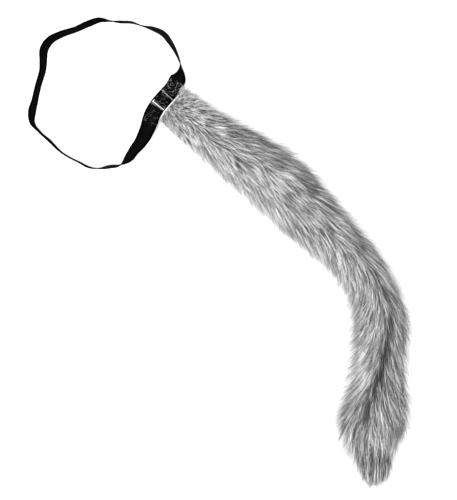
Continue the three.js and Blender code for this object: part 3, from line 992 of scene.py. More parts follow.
@dataclass
class Waistband:
    """The elastic strip with its rows of stitches, frayed cut end and stray hairs.

    Attributes:
        loop: The loop that it follows.
        section_step: Length between two cross-sections.
        points_across: Points on each side of a cross-section.
        rib_pitch: Width of a rib that runs along the strip.
        rib_height: Depth of the grooves between ribs.
        crimp: Depth of the small waves along each rib.
        selvedge: Thickness at the strip's edge, as a share of the middle's.
        thread_radius: Radius of the sewing thread.
        stitch_half: Half the width of a zigzag.
        stitch_pitch: Width of the strip that one stitch takes.
        stitch_points: Points for each stitch.
        loose_place: Where the loose thread starts, along the strip and over its width.
        loose_reach: Its length along the strip.
        loose_curl: How far it curls over the strip's width.
        loose_height: Its height above the strip, and how far it rises from there.
        fray_threads: Threads at the cut end.
        fray_edge: Farthest of them from the strip's middle.
        fray_radius: Their radius.
        fray_root: Their depth under the strip's face.
        hair_edges: Bounds of the stray hairs over the strip's width.
        hair_start: Where over the width most of them start.
    """

    loop: WaistLoop
    section_step: float = 1.5 * MM
    points_across: int = 37
    rib_pitch: float = 2.2 * MM
    rib_height: float = 0.05 * MM
    crimp: float = 0.02 * MM
    selvedge: float = 0.45
    thread_radius: float = 0.17 * MM
    stitch_half: float = 0.5 * MM
    stitch_pitch: float = 0.5 * MM
    stitch_points: int = 3
    loose_place: tuple[float, float] = (-10.3 * MM, -8.1 * MM)
    loose_reach: float = 2.9 * MM
    loose_curl: float = 0.7 * MM
    loose_height: tuple[float, float] = (0.25 * MM, 0.5 * MM)
    fray_threads: int = 70
    fray_edge: float = 9.4 * MM
    fray_radius: float = 0.1 * MM
    fray_root: float = 0.3 * MM
    hair_edges: tuple[float, float] = (-9.7 * MM, 9.9 * MM)
    hair_start: float = 9.8 * MM

    def strip(self, material: bpy.types.Material) -> bpy.types.Object:
        """Builds the ribbed strip, lapped over its own start.

        Args:
            material: The elastic's finish.

        Returns:
            The strip.
        """
        loop = self.loop
        total = loop.girth + loop.lap_length
        runs = np.linspace(0, total, round(total / self.section_step) + 1)
        half, edge = loop.thickness / 2, loop.width / 2
        over = np.linspace(-1, 1, self.points_across)
        across = np.concatenate((over, over[::-1])) * edge
        side = np.repeat((1.0, -1.0), self.points_across)
        swell = np.clip((1 - np.abs(across) / edge) * edge / half, 0, 1)
        thick = half * (self.selvedge + (1 - self.selvedge) * np.sqrt(swell * (2 - swell)))
        wave = np.cos(FULL_TURN * across / self.rib_pitch)
        ribs = self.rib_height * (wave - 1) / 2
        crimp = self.crimp * np.cos(math.pi * np.arange(len(runs)))[:, None] * wave
        down = smooth_step(runs, loop.lap_length, loop.lap_length + loop.lap_ramp)[:, None]
        middle, _, cross, face = loop.directions(loop.lap_from + runs)
        middle = middle + np.array([0.0, 0.0, 1.0]) * (loop.thickness + loop.clearance) * (1 - down)
        off = side * (thick + ribs) + crimp
        points = middle[:, None] + cross[:, None] * across[None, :, None] + face[:, None] * off[..., None]
        shape = points.shape[:2]
        values = {
            "run": np.broadcast_to(runs[:, None] / MM, shape),
            "across": np.broadcast_to(across / MM, shape),
            # marks the outside face, which the elastic paints paler as painted sheen
            "outside_sheen": np.broadcast_to(side < 0, shape).astype(float),
        }
        parts = MeshParts()
        parts.grid(points, closed=True, caps=True, **values)
        return finish_piece(parts.build("waistband_strip", material), "elastic_band")

    def top(self, length: np.ndarray, across: np.ndarray, above: np.ndarray) -> np.ndarray:
        """Points at a height above the visible face of the flat stretch."""
        off = self.loop.thickness / 2 + self.loop.lap_lift(length) + above
        return self.loop.strip(length, across, off)

    def stitches(self, material: bpy.types.Material) -> bpy.types.Object:
        """Sews the rows across the lap, the two faint tacks beside the hem, and a loose thread end.

        Args:
            material: The thread's finish.

        Returns:
            All the stitches as one piece.
        """
        parts = MeshParts()
        for row in STITCH_ROWS:
            span = row.stop - row.start
            count = int(span * MM / self.stitch_pitch)
            step = np.arange(count * self.stitch_points + 1)
            stitch = step / self.stitch_points
            across = (row.start + span * step / step[-1]) * MM
            zigzag = np.abs(np.mod(stitch, 2) - 1) * 2 - 1
            length = self.loop.root + row.place * MM + zigzag * self.stitch_half * row.wide
            above = self.thread_radius * (0.35 + 0.9 * np.abs(np.sin(math.pi * stitch)))
            paths = self.top(length, across, above)[None]
            parts.tubes(paths, self.thread_radius * row.thick, 6, pale=np.array([row.pale]))
        parts.tubes(self.loose_thread(), self.thread_radius * 1.7, 6, pale=np.array([1.0]))
        return finish_piece(parts.build("lap_stitches", material))

    def loose_thread(self) -> np.ndarray:
        """Lays the thread end that hangs loose from the thick row.

        Returns:
            Its course, as the one path of an array.
        """
        share = np.linspace(0, 1, 14)
        length = self.loop.root + self.loose_place[0] + self.loose_reach * share
        across = self.loose_place[1] + self.loose_curl * np.sin(2.4 * share)
        above = self.loose_height[0] + self.loose_height[1] * np.sin(2 * share)
        return self.top(length, across, above)[None]

    def frayed_end(self, material: bpy.types.Material) -> bpy.types.Object:
        """Builds the short threads that stick out of the upper layer's cut end.

        Args:
            material: The thread's finish.

        Returns:
            The threads as one piece.
        """
        loop, count = self.loop, self.fray_threads
        rng = np.random.default_rng(31)
        share = np.linspace(0, 1, 4)
        across = np.linspace(-self.fray_edge, self.fray_edge, count) + rng.normal(0, 0.08 * MM, count)
        reach = rng.uniform(0.3, 1.3, count)[:, None] * MM * share
        stray = rng.normal(0, 0.25, count)[:, None]
        sink = rng.uniform(0.2, 1.2, count)[:, None] * MM * share
        length = loop.lap_from + 0.2 * MM - reach
        off = 1.5 * loop.thickness + loop.clearance - self.fray_root - sink
        paths = loop.strip(length, across[:, None] + stray * reach, off)
        parts = MeshParts()
        parts.tubes(paths, self.fray_radius, 5, pale=rng.uniform(0.25, 0.6, count))
        return finish_piece(parts.build("frayed_lap_end", material))

    def stray_hairs(self, material: bpy.types.Material) -> bpy.types.Object:
        """Builds the fur hairs that cling to the joint, most of them on the segment above the lap.

        Args:
            material: The hair's finish.

        Returns:
            The hairs as one piece.
        """
        rng = np.random.default_rng(47)
        parts = MeshParts()
        share = np.linspace(0, 1, 7)
        for zone in HAIR_ZONES:
            count = zone.count
            length = rng.uniform(zone.low, zone.high, count)[:, None] * MM
            across = self.hair_start * (1 - 1.9 * rng.uniform(0, 1, count)[:, None] ** 1.5)
            heading = rng.normal(math.pi * 0.75, 1.1, count)[:, None]
            turn = heading + rng.normal(0, 0.35, count)[:, None] * share
            step = rng.uniform(1.8, 5.0, count)[:, None] * MM / (len(share) - 1)
            ahead = length + np.cumsum(np.cos(turn), axis=1) * step
            over = np.clip(across - np.cumsum(np.sin(turn), axis=1) * step, *self.hair_edges)
            above = (0.12 + 0.5 * rng.uniform(0, 1, count)[:, None] * np.sin(math.pi * share)) * MM
            tones = zone.pale * rng.uniform(0.3, 1.7, count)
            radius = rng.uniform(0.035, 0.066, count)[:, None] * MM
            parts.tubes(self.top(self.loop.root + ahead, over, above), radius, 3, tone=tones)
        return finish_piece(parts.build("stray_hairs", material))


@dataclass
class RootHem:
    """The fur's backing, turned under the waistband's outer edge, with its rounded rim.

    Attributes:
        loop: The loop that it is sewn to.
        tab: How far it reaches under the strip.
        thickness: Its thickness under the strip.
        section_step: Length between two cross-sections.
        rim_share: Height of the rim's rounding, as a share of its width.
        foot_round: How much higher its outer lower corner lies.
        foot_slope: How much higher its inner lower corner lies.
        pucker: How far each stitch draws it in.
        pucker_pitch: Length between two stitches.
        pucker_height: How much farther each stitch draws the rim down.
    """

    loop: WaistLoop
    tab: float = 9 * MM
    thickness: float = 2 * MM
    section_step: float = 0.8 * MM
    rim_share: float = 0.4
    foot_round: float = 0.5 * MM
    foot_slope: float = 0.1 * MM
    pucker: float = 0.16 * MM
    pucker_pitch: float = 2.9 * MM
    pucker_height: float = 1.6

    def outline(self) -> tuple[np.ndarray, np.ndarray, np.ndarray]:
        """Draws the hem's section: the tab under the strip and the rim beside its edge.

        Returns:
            Places over the strip's width, heights off its middle layer, and which of them are the rim's.
        """
        loop, bead = self.loop, self.loop.hem_bead
        gap = loop.width / 2 + loop.clearance
        under = -loop.thickness / 2 - loop.clearance
        top = 1.5 * loop.thickness + loop.clearance
        foot = under - self.thickness
        rim = bead * self.rim_share
        arc = np.linspace(math.pi, 0, 9)
        tab = [gap - self.tab, gap - self.tab / 2]
        across = np.concatenate(
            (tab, [gap], gap + bead / 2 + bead / 2 * np.cos(arc), [gap + bead, gap + bead * 0.7], tab[::-1])
        )
        below = [foot + self.foot_round, foot, foot, foot + self.foot_slope]
        off = np.concatenate(([under] * 3, top - rim + rim * np.sin(arc), below))
        on_rim = (off > under + 0.2 * MM) & (across > gap + 0.1 * MM)
        return across, off, on_rim

    def build(self, material: bpy.types.Material) -> bpy.types.Object:
        """Lofts the tab and its rim, drawn in a little at each stitch.

        Args:
            material: The backing's finish.

        Returns:
            The hem.
        """
        loop = self.loop
        across, off, on_rim = self.outline()
        first = loop.root - loop.hem_length / 2
        lengths = first + np.linspace(0, loop.hem_length, round(loop.hem_length / self.section_step) + 1)
        wave = self.pucker * (np.cos(FULL_TURN * lengths[:, None] / self.pucker_pitch) - 1) / 2
        outer = across > loop.width / 2 + loop.clearance + loop.hem_bead * 0.6
        raised = off + wave * on_rim * self.pucker_height
        points = loop.strip(lengths[:, None], across + wave * outer, raised)
        girth = np.concatenate(([0], np.cumsum(np.hypot(np.diff(across), np.diff(off)))))
        shape = points.shape[:2]
        values = {
            "run": np.broadcast_to(lengths[:, None] / MM, shape),
            "across": np.broadcast_to(girth / MM, shape),
        }
        parts = MeshParts()
        parts.grid(points, closed=True, caps=True, **values)
        return finish_piece(parts.build("turned_hem", material), "root_hem")


@dataclass(frozen=True)
class CoatLayer:
    """One layer of strands: where it grows, how many strands, and how they lie.

    Attributes:
        name: Name of the piece.
        start: Where it starts, as a share of the tail's length.
        stop: Where it ends.
        strands: About how many strands it has.
        seed: Seed of its random numbers.
        cuts: Points along each strand.
        per_clump: Strands in a clump.
        clump_radius: Spread of a clump's roots.
        length: Length of its strands, as a share of the comb's.
        lift: How far its lowest and highest tips stand over the sleeve, in fur rises.
        lift_skew: Above 1, more of its clumps are low.
        root_depth: Depth of its roots, 0 on the fur's outline and 1 on the sleeve.
        width: Least and greatest width of a strand.
        pull: How far a clump's strands close to its tip.
        tone: How pale it is, against the comb's tone.
        mottle: How much its clumps differ in tone.
        dark_share: Share of dark clumps, for each unit of mottle: partly dark fibres, partly painted shade
            of the gaps between clumps.
        free: How far its strands run straight on past the tail's side.
        deep_shade_tone: Tone of its lowest clumps, painted shade deep in the coat.
        root_shade_tone: Tone of a strand's root, against that of its tip: painted shade at the roots,
            partly the fur's own darker base.
        flat_top: How much lower it lies on top than at the sides.
        at_sides: How much thinner it grows on top than at the sides.
        hold: How far its strands keep their place where the tail narrows, on its left.
        splay: Share of the comb's splay that it follows.
    """

    name: str
    start: float
    stop: float
    strands: int
    seed: int
    cuts: int = 5
    per_clump: int = 3
    clump_radius: float = 0.2 * MM
    length: float = 1.0
    lift: tuple[float, float] = (0.1, 1.12)
    lift_skew: float = 1.5
    root_depth: tuple[float, float] = (1.02, 1.12)
    width: tuple[float, float] = (0.28 * MM, 0.54 * MM)
    pull: tuple[float, float] = (0.4, 0.9)
    tone: float = 1.0
    mottle: float = 0.62
    dark_share: float = 0.25
    free: float = 0.8
    deep_shade_tone: float = 0.3
    root_shade_tone: float = 0.05
    flat_top: float = 0.0
    at_sides: float = 0.0
    hold: float = 0.0
    splay: float = 1.0


@dataclass
class FurTail:
    """The stuffed sleeve, and what its whole coat shares: the comb and the slow wandering.

    Attributes:
        form: The tail's form.
        stations: Cross-sections of the sleeve.
        ring: Points round each of them.
        under_depth: Depth of the sleeve in the fur, in fur rises.
        lump_depth: Depth of its soft lumps, in fur rises.
        root_overlap: How far it reaches past the hem's line.
        closing: Share of the tail over which it closes at the tuft.
        opening: Share of the tail over which it closes at the hem.
    """

    form: TailForm
    stations: int = 170
    ring: int = 56
    under_depth: float = 1.06
    lump_depth: float = 0.09
    root_overlap: float = 9 * MM
    closing: float = 0.04
    opening: float = 0.02

    def __post_init__(self) -> None:
        """Sets up the combing table and the slow wandering of the coat."""
        self.comb = SmoothTable(COMB_COLUMNS, COMB_ROWS)
        self.wander = Drift(11, 60 * MM, 26 * MM)
        self.ripple = Drift(12, 22 * MM, 9 * MM)
        self.patches = Drift(13, 90 * MM, 30 * MM)

    def sleeve(self, material: bpy.types.Material) -> bpy.types.Object:
        """Builds the stuffed body under the coat, rounded off at both its ends.

        Args:
            material: The undercoat's finish.

        Returns:
            The sleeve.
        """
        form = self.form
        start = -self.root_overlap / form.length
        stations = np.linspace(start, form.sleeve_end, self.stations)
        turns = np.arange(self.ring) * FULL_TURN / self.ring
        along, angle = np.meshgrid(stations, turns, indexing="ij")
        lumps = self.lump_depth * self.ripple.at(along * form.length, self.around(along, angle))
        closed = smooth_step(along, form.sleeve_end - self.closing, form.sleeve_end)
        bare = 1 - smooth_step(along, start, start + self.opening)
        sink = self.inward(along, np.sin(self.from_top(angle)))
        points = form.point(along, angle, self.under_depth + sink + lumps + closed**2 + bare**2)
        flat = points.reshape(-1, 3)
        past, away = form.loop.beyond_hem(flat)
        flat = flat + away * np.maximum(-past, 0)[:, None]
        parts = MeshParts()
        parts.grid(flat.reshape(points.shape), closed=True, caps=True, bare=bare)
        piece = finish_piece(parts.build("stuffed_sleeve", material), "fur_tail")
        return piece

    def inward(self, along: np.ndarray, side: np.ndarray) -> np.ndarray:
        """How far the coat sinks under the outline, in fur rises; side is -1 left and 1 right."""
        left, right = (self.comb.at(name, along) for name in ("in_left", "in_right"))
        return left + (right - left) * (side + 1) / 2

    def around(self, along: np.ndarray, angle: np.ndarray) -> np.ndarray:
        """Metres round the section from its top, positive towards the camera's right."""
        return self.from_top(angle) * self.form.radius(along)

    @staticmethod
    def from_top(angle: np.ndarray) -> np.ndarray:
        """Radians round the section from its top, positive towards the camera's right."""
        return np.mod(angle + math.pi / 2, FULL_TURN) - math.pi


@dataclass
class HairGrowth:
    """One layer of the coat as it grows, clump by clump and then strand by strand.

    Each step draws its random numbers in turn, so the steps keep their order.

    Attributes:
        tail: The tail that it grows on.
        layer: The layer's own numbers.
        near_root: Share of the tail where clumps are tousled and fill the hem's corner.
        short_until: Share of the tail where the short fur of the root ends.
        tousled_over: Shares of the tail between which the extra tousle at the hem fades.
        tousle: That extra tousle.
        root_degrees: How much clumps near the root differ in direction.
        clump_degrees: How much clumps differ in direction everywhere.
        wander_degrees: Slow turning of the coat.
        ripple_degrees: Quicker turning of the coat.
        splay_power: Below 1, clumps splay early beside the parting.
        high_tone: Tone of the highest clumps, the light end of the painted shade by depth.
        short_tone: Tone of the short fur.
        dark_fibre_and_gap_shade: Tone of the dark clumps, partly dark fibres and partly painted shade of
            the gaps between clumps.
        parting_width: Half the parting's width in radians.
        left_painted_light: How much painted light lightens the left side, for each unit of the comb's lean.
        right_painted_shade: How much painted shade darkens the right side.
        edge_light: How much lighter the farthest left edge is.
        strand_spread: How much the strands of a clump differ in tone.
        paleness: What every tone is multiplied by.
        side_from: Radians from the top where strands begin to run straight on.
        under_from: Radians from the top past which they don't.
        left_reach: Farthest that a strand runs on at the left.
        right_reach: Farthest that it runs on at the right.
        left_freedom: How much more the strands on the left run on.
        droop: How far strands sink where they run on, as a share of that run.
        sway: Half the width of a strand's waves.
        clearance: Least height of the strands over the table.
        hem_ends: Share of the tail past which no strand can lie over the band.
        lit_left: How much lighter strands on the left are where they stand off.
        lit_right: How much lighter strands on the right are there.
        lit_from: How far strands stand off where they are lightest.
    """

    tail: FurTail
    layer: CoatLayer
    near_root: float = 0.05
    short_until: float = 0.12
    tousled_over: tuple[float, float] = (-0.012, 0.014)
    tousle: float = 1.8
    root_degrees: float = 22.0
    clump_degrees: float = 2.4
    wander_degrees: float = 7.0
    ripple_degrees: float = 3.0
    splay_power: float = 0.55
    high_tone: float = 1.15
    short_tone: float = 0.95
    dark_fibre_and_gap_shade: float = 0.2
    parting_width: float = 0.17
    left_painted_light: float = 0.25
    right_painted_shade: float = 0.3
    edge_light: float = 0.35
    strand_spread: float = 0.68
    paleness: float = 0.4
    side_from: float = math.radians(78)
    under_from: float = math.radians(105)
    left_reach: float = 20 * MM
    right_reach: float = 12 * MM
    left_freedom: float = 1.8
    droop: float = 0.3
    sway: float = 0.25 * MM
    clearance: float = 0.2 * MM
    hem_ends: float = 0.06
    lit_left: float = 0.8
    lit_right: float = 0.45
    lit_from: float = 9 * MM

    def __post_init__(self) -> None:
        """Grows the clumps and combs them."""
        tail, layer = self.tail, self.layer
        self.rng = np.random.default_rng(layer.seed)
        self.along, self.angle = self.roots(layer.strands // layer.per_clump)
        self.clumps = len(self.along)
        self.which = np.repeat(np.arange(self.clumps), layer.per_clump)
        self.count = len(self.which)
        self.top = tail.from_top(self.angle)
        self.place = self.along * tail.form.length
        self.around = tail.around(self.along, self.angle)
        self.from_seam = self.top - np.radians(tail.comb.at("seam", self.along))
        self.at_root = 1 - smooth_step(self.along, 0.0, self.near_root)
        self.short_fur = 1 - smooth_step(self.along, 0.0, self.short_until)
        self.left_edge = smooth_step(-np.sin(self.top), 0.72, 1.0)
        self.share = np.linspace(0, 1, layer.cuts)
        self.heading = self.comb_clumps()
        length = tail.comb.at("length", self.along) * MM * layer.length
        self.length = length * self.rng.uniform(0.8, 1.2, self.clumps)
        self.rank = self.rng.uniform(0, 1, self.clumps) ** layer.lift_skew
        self.tone = self.clump_tones()

    def roots(self, count: int) -> tuple[np.ndarray, np.ndarray]:
        """Picks where clumps grow: evenly over the skin, and fewer underneath.

        Args:
            count: How many clumps.

        Returns:
            Shares along the tail, and angles round it.
        """
        form, layer = self.tail.form, self.layer
        along = self.rng.uniform(layer.start, layer.stop, count * 4)
        angle = self.rng.uniform(0, FULL_TURN, count * 4)
        wide, high = form.halves(along)
        keep = (wide + high) / (form.width * 0.98)
        keep = keep * np.where(np.sin(angle) < -0.45, 0.3, 1.0)
        keep = keep * (1 - layer.at_sides * np.maximum(np.sin(angle), 0))
        chosen = self.rng.uniform(0, 1, count * 4) < keep
        return along[chosen][:count], angle[chosen][:count]

    def comb_clumps(self) -> np.ndarray:
        """Combs the clumps to both sides of the parting.

        Returns:
            Radians that each clump turns off the tail's own run.
        """
        tail = self.tail
        aside = np.sin(self.from_seam)
        left, right = (tail.comb.at(name, self.along) for name in ("left", "right"))
        splay = np.where(aside > 0, right, left) * np.sign(aside) * np.abs(aside) ** self.splay_power
        tousled = 1 + self.tousle * (1 - smooth_step(self.along, *self.tousled_over))
        return np.radians(
            splay * self.layer.splay
            + self.wander_degrees * tail.wander.at(self.place, self.around)
            + self.ripple_degrees * tail.ripple.at(self.place, self.around)
            + self.rng.normal(0, self.clump_degrees, self.clumps)
            + self.at_root * tousled * self.rng.normal(0, self.root_degrees, self.clumps)
        )

    def clump_tones(self) -> np.ndarray:
        """Makes clumps paler where they stand high and darker where they lie low, as painted shade; darker
        in the parting, as painted shade; lighter on the left and darker on the right, as painted light; and
        mottled.

        Returns:
            The tone of each clump.
        """
        tail, layer, rng = self.tail, self.layer, self.rng
        # Painted shade: clumps that lie lower in the coat are darker, standing for the shade deep in the
        # fur.
        height_shade = layer.deep_shade_tone + (self.high_tone - layer.deep_shade_tone) * smooth_step(self.rank, 0, 0.6)
        height_shade = height_shade + (self.short_tone - height_shade) * 0.85 * self.short_fur
        mottle = layer.mottle * smooth_step(self.along, -0.01, 0.18) * (1 - 0.6 * self.left_edge)
        patches = 1 + 0.07 * tail.patches.at(self.place, self.around)
        drift = np.exp(rng.normal(0, 1, self.clumps) * mottle) * patches
        # Dark clumps: partly dark fibres, partly painted shade standing for the gaps between clumps.
        dark = rng.uniform(0, 1, self.clumps) < layer.dark_share * mottle
        drift = drift * np.where(dark, self.dark_fibre_and_gap_shade, 1.0)
        # Painted shade: the parting is darkened where the strands splay apart and show their shaded roots.
        dip = np.exp(-((self.from_seam / self.parting_width) ** 2))
        parting = tail.comb.at("parting", self.along) * dip
        aside = np.sin(self.from_seam)
        # Painted light and shade: the left side is lighter and the right darker, as if lit from the left.
        lean = self.left_painted_light * np.maximum(-aside, 0) - self.right_painted_shade * np.maximum(aside, 0)
        painted_side_light = (1 + tail.comb.at("lean", self.along) * lean) * (1 + self.edge_light * self.left_edge)
        return tail.comb.at("tone", self.along) * height_shade * drift * (1 - parting) * painted_side_light

    def strokes(self) -> tuple[np.ndarray, np.ndarray]:
        """Draws each strand over the skin, from its clump's foot towards its clump's tip.

        Returns:
            How far each point lies from its clump along the tail, and round it.
        """
        layer, rng, share = self.layer, self.rng, self.share
        pull = rng.uniform(*layer.pull, self.clumps)[self.which, None] * share**0.8
        off_along = rng.normal(0, layer.clump_radius * 1.3, self.count)[:, None] * (1 - pull)
        off_around = rng.normal(0, layer.clump_radius, self.count)[:, None] * (1 - pull)
        turn = (self.heading[self.which] + rng.normal(0, 0.04, self.count))[:, None]
        curl = (rng.normal(0, 0.08, self.clumps)[self.which] + rng.normal(0, 0.05, self.count))[:, None]
        reach = (self.length[self.which] * rng.uniform(0.72, 1.1, self.count))[:, None] * share
        phase = rng.uniform(0, FULL_TURN, self.clumps)[self.which] + rng.normal(0, 0.4, self.count)
        sway = self.sway * share * np.sin(FULL_TURN * 1.1 * share + phase[:, None])
        run = off_along + reach * np.cos(turn + curl * share)
        over = off_around + reach * np.sin(turn + curl * share) + sway
        return run, over

    def past_side(self, tilt: np.ndarray, radius: np.ndarray) -> np.ndarray:
        """Lets strands run straight on past the tail's side instead of bending down round it.

        Args:
            tilt: Radians from the section's top of each point, bent round the skin.
            radius: Mean radius of the section under each strand.

        Returns:
            Metres that each point runs on.
        """
        top, rng = self.top, self.rng
        side = np.maximum(self.side_from, np.abs(top))[self.which, None]
        loose = self.layer.free * rng.uniform(0, 1, self.clumps) ** 1.3
        free = np.where(np.abs(top) < self.under_from, loose, 0) * np.where(top < 0, self.left_freedom, 1.0)
        at_corner = self.at_root * smooth_step(top, 0.9, 1.5) * rng.uniform(0.5, 1, self.clumps)
        free = np.maximum(free, at_corner)[self.which, None]
        farthest = np.where(top < 0, self.left_reach, self.right_reach)[self.which, None]
        return farthest * np.tanh(np.maximum(np.abs(tilt) - side, 0) * free * radius / farthest)

    def lay(self, run: np.ndarray, over: np.ndarray) -> tuple[np.ndarray, np.ndarray, np.ndarray]:
        """Lays the strands on the tail, clear of the band and the table.

        Args:
            run: How far each point lies from its clump along the tail.
            over: How far it lies round the tail.

        Returns:
            The points, the direction out of the skin there, and how far they stand off the outline.
        """
        form, layer, which, top = self.tail.form, self.layer, self.which, self.top
        along = self.along[which, None] + run / form.length
        radius = form.radius(self.along)[which, None]
        tilt = top[which, None] + over / radius
        past = self.past_side(tilt, radius)
        angle = self.angle[which, None] + over / radius - np.sign(tilt) * past / radius
        lift = layer.lift[0] + (layer.lift[1] - layer.lift[0]) * self.rank
        lift = lift * (1 + 0.2 * self.tail.ripple.at(self.place, self.around + 10 * MM))
        lift = lift * (1 - layer.flat_top * np.cos(top))
        raised = (lift[which] * self.rng.uniform(0.8, 1.15, self.count))[:, None]
        first_depth = self.rng.uniform(*layer.root_depth, self.count)[:, None]
        sink = self.tail.inward(self.along, np.sin(top))[which, None]
        depth = sink + first_depth - (first_depth - 1 + raised) * self.share**0.85
        outward = unit(form.point(along, angle, depth - 0.4) - form.point(along, angle, depth + 0.1))
        narrowing = form.halves(self.along)[0][which, None] - form.halves(along)[0]
        held = (self.rank * np.maximum(-np.sin(top), 0))[which, None] * np.maximum(narrowing, 0)
        standing = past + layer.hold * held
        points = form.point(along, angle, depth) + outward * standing[..., None]
        points[..., 2] -= self.droop * past
        cover = (0.6 + 3.2 * smooth_step(np.sin(top), 0.5, 0.85))[which, None] * MM
        points = self.clear_of_hem(points, along, cover)
        points[..., 2] = np.maximum(points[..., 2], self.clearance)
        return points, outward, standing

    def clear_of_hem(self, points: np.ndarray, along: np.ndarray, cover: np.ndarray) -> np.ndarray:
        """Moves what would lie over the band back to the hem.

        Args:
            points: Array of strands, cuts and 3.
            along: Share along the tail of each point.
            cover: How far each strand may lie over the hem.

        Returns:
            The same points, moved.
        """
        near = along < self.hem_ends
        past, away = self.tail.form.loop.beyond_hem(points[near])
        covered = np.broadcast_to(cover, along.shape)[near]
        points[near] += away * np.maximum(-covered - past, 0)[:, None]
        return points

    def blades(self, points: np.ndarray, outward: np.ndarray) -> np.ndarray:
        """Turns each strand's flat side a little, and tapers it to its tip.

        Args:
            points: Array of strands, cuts and 3.
            outward: Direction out of the skin at each point.

        Returns:
            Half the strand's width as a vector at each point.
        """
        tangent = unit(np.gradient(points, axis=1))
        flat_side = unit(np.cross(tangent, outward))
        raise_side = np.cross(flat_side, tangent)
        twist = self.rng.normal(0, 0.7, self.count)[:, None, None]
        blade = flat_side * np.cos(twist) + raise_side * np.sin(twist)
        taper = (1 - self.share) ** 0.7 * (0.75 + 0.5 * self.share)
        half = (self.rng.uniform(*self.layer.width, self.count) / 2)[:, None] * taper
        return blade * half[..., None]

    def shades(self, standing: np.ndarray) -> np.ndarray:
        """Paints shade on strands towards their roots, and paints light on those that stand off the
        outline.

        Args:
            standing: How far each point stands off the outline.

        Returns:
            The tone of each point.
        """
        layer, which = self.layer, self.which
        spread = self.strand_spread * ((1 - 0.7 * self.short_fur) * (1 - 0.5 * self.left_edge))[which]
        tone = layer.tone * self.tone[which] * np.exp(self.rng.normal(-0.16, 1, self.count) * spread)
        # Painted shade towards the roots, partly the fur's own paler tips: each strand darkens from tip to
        # root.
        fade = layer.root_shade_tone + (1 - layer.root_shade_tone) * smooth_step(self.share, 0.0, 0.6)
        sunlit = np.where(self.top < 0, self.lit_left, self.lit_right)[which, None]
        lit_through = 1 + sunlit * smooth_step(standing, 0, self.lit_from)
        return np.clip(tone[:, None] * self.paleness * fade * lit_through, 0.0, 1)

    def strands(self, material: bpy.types.Material) -> bpy.types.Object:
        """Makes the layer's strands, as flat ribbons that end in points.

        Args:
            material: The hair's finish.

        Returns:
            The layer as one piece.
        """
        points, outward, standing = self.lay(*self.strokes())
        ends = self.blades(points, outward)
        shade = self.shades(standing)
        wide = self.layer.cuts - 1
        pairs = np.stack((points[:, :wide] - ends[:, :wide], points[:, :wide] + ends[:, :wide]), axis=2)
        corners = np.concatenate((pairs.reshape(self.count, wide * 2, 3), points[:, -1:]), axis=1)
        tones = np.concatenate((np.repeat(shade[:, :wide], 2, axis=1), shade[:, -1:]), axis=1)
        last = wide * 2
        first = (np.arange(self.count) * (last + 1))[:, None]
        step = np.arange(wide - 1) * 2
        quads = np.stack([first + step + k for k in (0, 1, 3, 2)], axis=-1)
        tips = np.concatenate((first + last - 2, first + last - 1, first + last), axis=1)
        parts = MeshParts()
        parts.add(corners, quads, tips, tone=tones.ravel())
        return finish_piece(parts.build(self.layer.name, material))


@dataclass
class Studio:
    """Pale floor, soft light and the camera straight above."""

    centre: tuple[float, float] = (11.37 * MM, 1.12 * MM)
    height: float = 3.02
    lens: float = 180.0
    sensor: float = 36.0
    farthest: float = 20.0
    floor_half: float = 4.0
    floor_tone: float = 0.8
    sky: float = 2.3
    key_place: tuple[float, float, float] = (-1.0, -0.55, 2.5)
    key_size: float = 1.2
    key_power: float = 62.0

    def camera(self) -> None:
        """Looks straight down with a long lens, the loop at the upper left."""
        data = bpy.data.cameras.new("camera")
        data.lens = self.lens
        data.sensor_width = self.sensor
        data.clip_end = self.farthest
        camera = bpy.data.objects.new("camera", data)
        camera.location = (*self.centre, self.height)
        bpy.context.scene.collection.objects.link(camera)
        bpy.context.scene.camera = camera

    def floor(self) -> None:
        """Lays a plain pale floor at the height of the tabletop."""
        half = self.floor_half
        corners = np.array([(-half, -half, 0), (half, -half, 0), (half, half, 0), (-half, half, 0)])
        tone = grey(self.floor_tone)
        made, _, _ = new_material("pale_floor", 0.9, Base_Color=tone, Specular_IOR_Level=0.1)
        parts = MeshParts()
        parts.add(corners, np.array([[0, 1, 2, 3]]))
        parts.build("floor", made, smooth=False)

    def lights(self) -> None:
        """Sets a bright even sky and one large soft light from high on the lower left."""
        world = bpy.data.worlds.new("studio")
        world.use_nodes = True
        background = world.node_tree.nodes["Background"]
        background.inputs["Color"].default_value = grey(1.0)
        background.inputs["Strength"].default_value = self.sky
        bpy.context.scene.world = world
        bpy.context.scene.view_settings.view_transform = "Standard"
        data = bpy.data.lights.new("key", "AREA")
        data.size = self.key_size
        data.energy = self.key_power
        light = bpy.data.objects.new("key", data)
        light.location = self.key_place
        light.rotation_euler = (-Vector(self.key_place)).to_track_quat("-Z", "Y").to_euler()
        bpy.context.scene.collection.objects.link(light)

    def set_up(self) -> None:
        """Builds the camera, the floor and the lights."""
        self.camera()
        self.floor()
        self.lights()


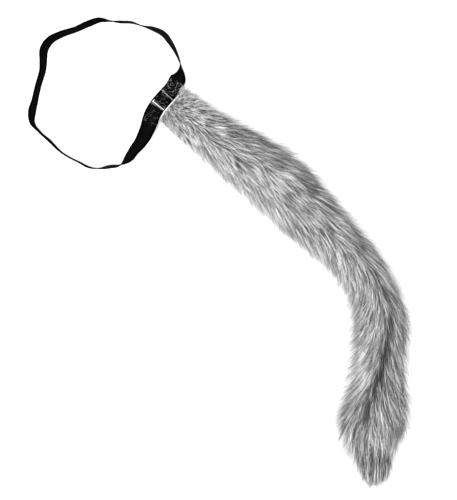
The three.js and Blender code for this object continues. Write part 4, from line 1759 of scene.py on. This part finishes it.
COAT = (
    CoatLayer(
        "tuft_wisps",
        0.86,
        0.912,
        2400,
        107,
        clump_radius=1.2 * MM,
        length=1.8,
        lift=(0.1, 1.4),
        width=(0.2 * MM, 0.34 * MM),
        pull=(0.2, 0.8),
        tone=1.15,
        free=1.2,
        at_sides=0.75,
        hold=1.85,
        splay=0.1,
    ),
    # The undercoat strands' low tone is painted shade: strands that lie under the pile are darker.
    CoatLayer("undercoat_strands", -0.01, 0.95, 20000, 101, cuts=4, length=0.62, lift=(0.1, 0.5), tone=0.4),
    CoatLayer("pile_near_root", -0.012, 0.27, 23000, 102),
    CoatLayer("pile_upper", 0.25, 0.51, 23000, 103, mottle=0.75, dark_share=0.3),
    CoatLayer("pile_lower", 0.49, 0.75, 23000, 104, mottle=0.9, dark_share=0.35),
    CoatLayer("pile_tuft", 0.73, 0.955, 23000, 105, mottle=0.95, dark_share=0.4, root_depth=(1.0, 1.3)),
    CoatLayer(
        "tuft_core",
        0.905,
        0.965,
        3600,
        108,
        lift=(-1.7, 0.7),
        lift_skew=1.0,
        root_depth=(1.3, 3.2),
        deep_shade_tone=0.85,
        root_shade_tone=0.45,
    ),
    CoatLayer(
        "flyaway_hairs",
        -0.005,
        0.955,
        15500,
        106,
        clump_radius=1.6 * MM,
        length=1.15,
        lift=(0.7, 2.2),
        lift_skew=1.1,
        width=(0.18 * MM, 0.3 * MM),
        pull=(0.1, 0.8),
        tone=0.58,
        free=1.5,
        flat_top=0.4,
        at_sides=0.75,
    ),
)


def main() -> None:
    """Builds the studio and the dressed part."""
    logging.basicConfig(level=logging.INFO, format="%(message)s")
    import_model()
    Studio().set_up()
    effects = Effects()
    loop = WaistLoop()
    form = TailForm(loop)
    thread = SewingThread().material(effects)
    hair = FurPile().material(effects)
    band = Waistband(loop)
    band.strip(WovenElastic().material(effects))
    band.stitches(thread)
    band.frayed_end(thread)
    band.stray_hairs(hair)
    RootHem(loop).build(KnittedBacking().material(effects))
    tail = FurTail(form)
    tail.sleeve(FurSkin().material(effects))
    for layer in COAT:
        HairGrowth(tail, layer).strands(hair)


if __name__ == "__main__":
    main()
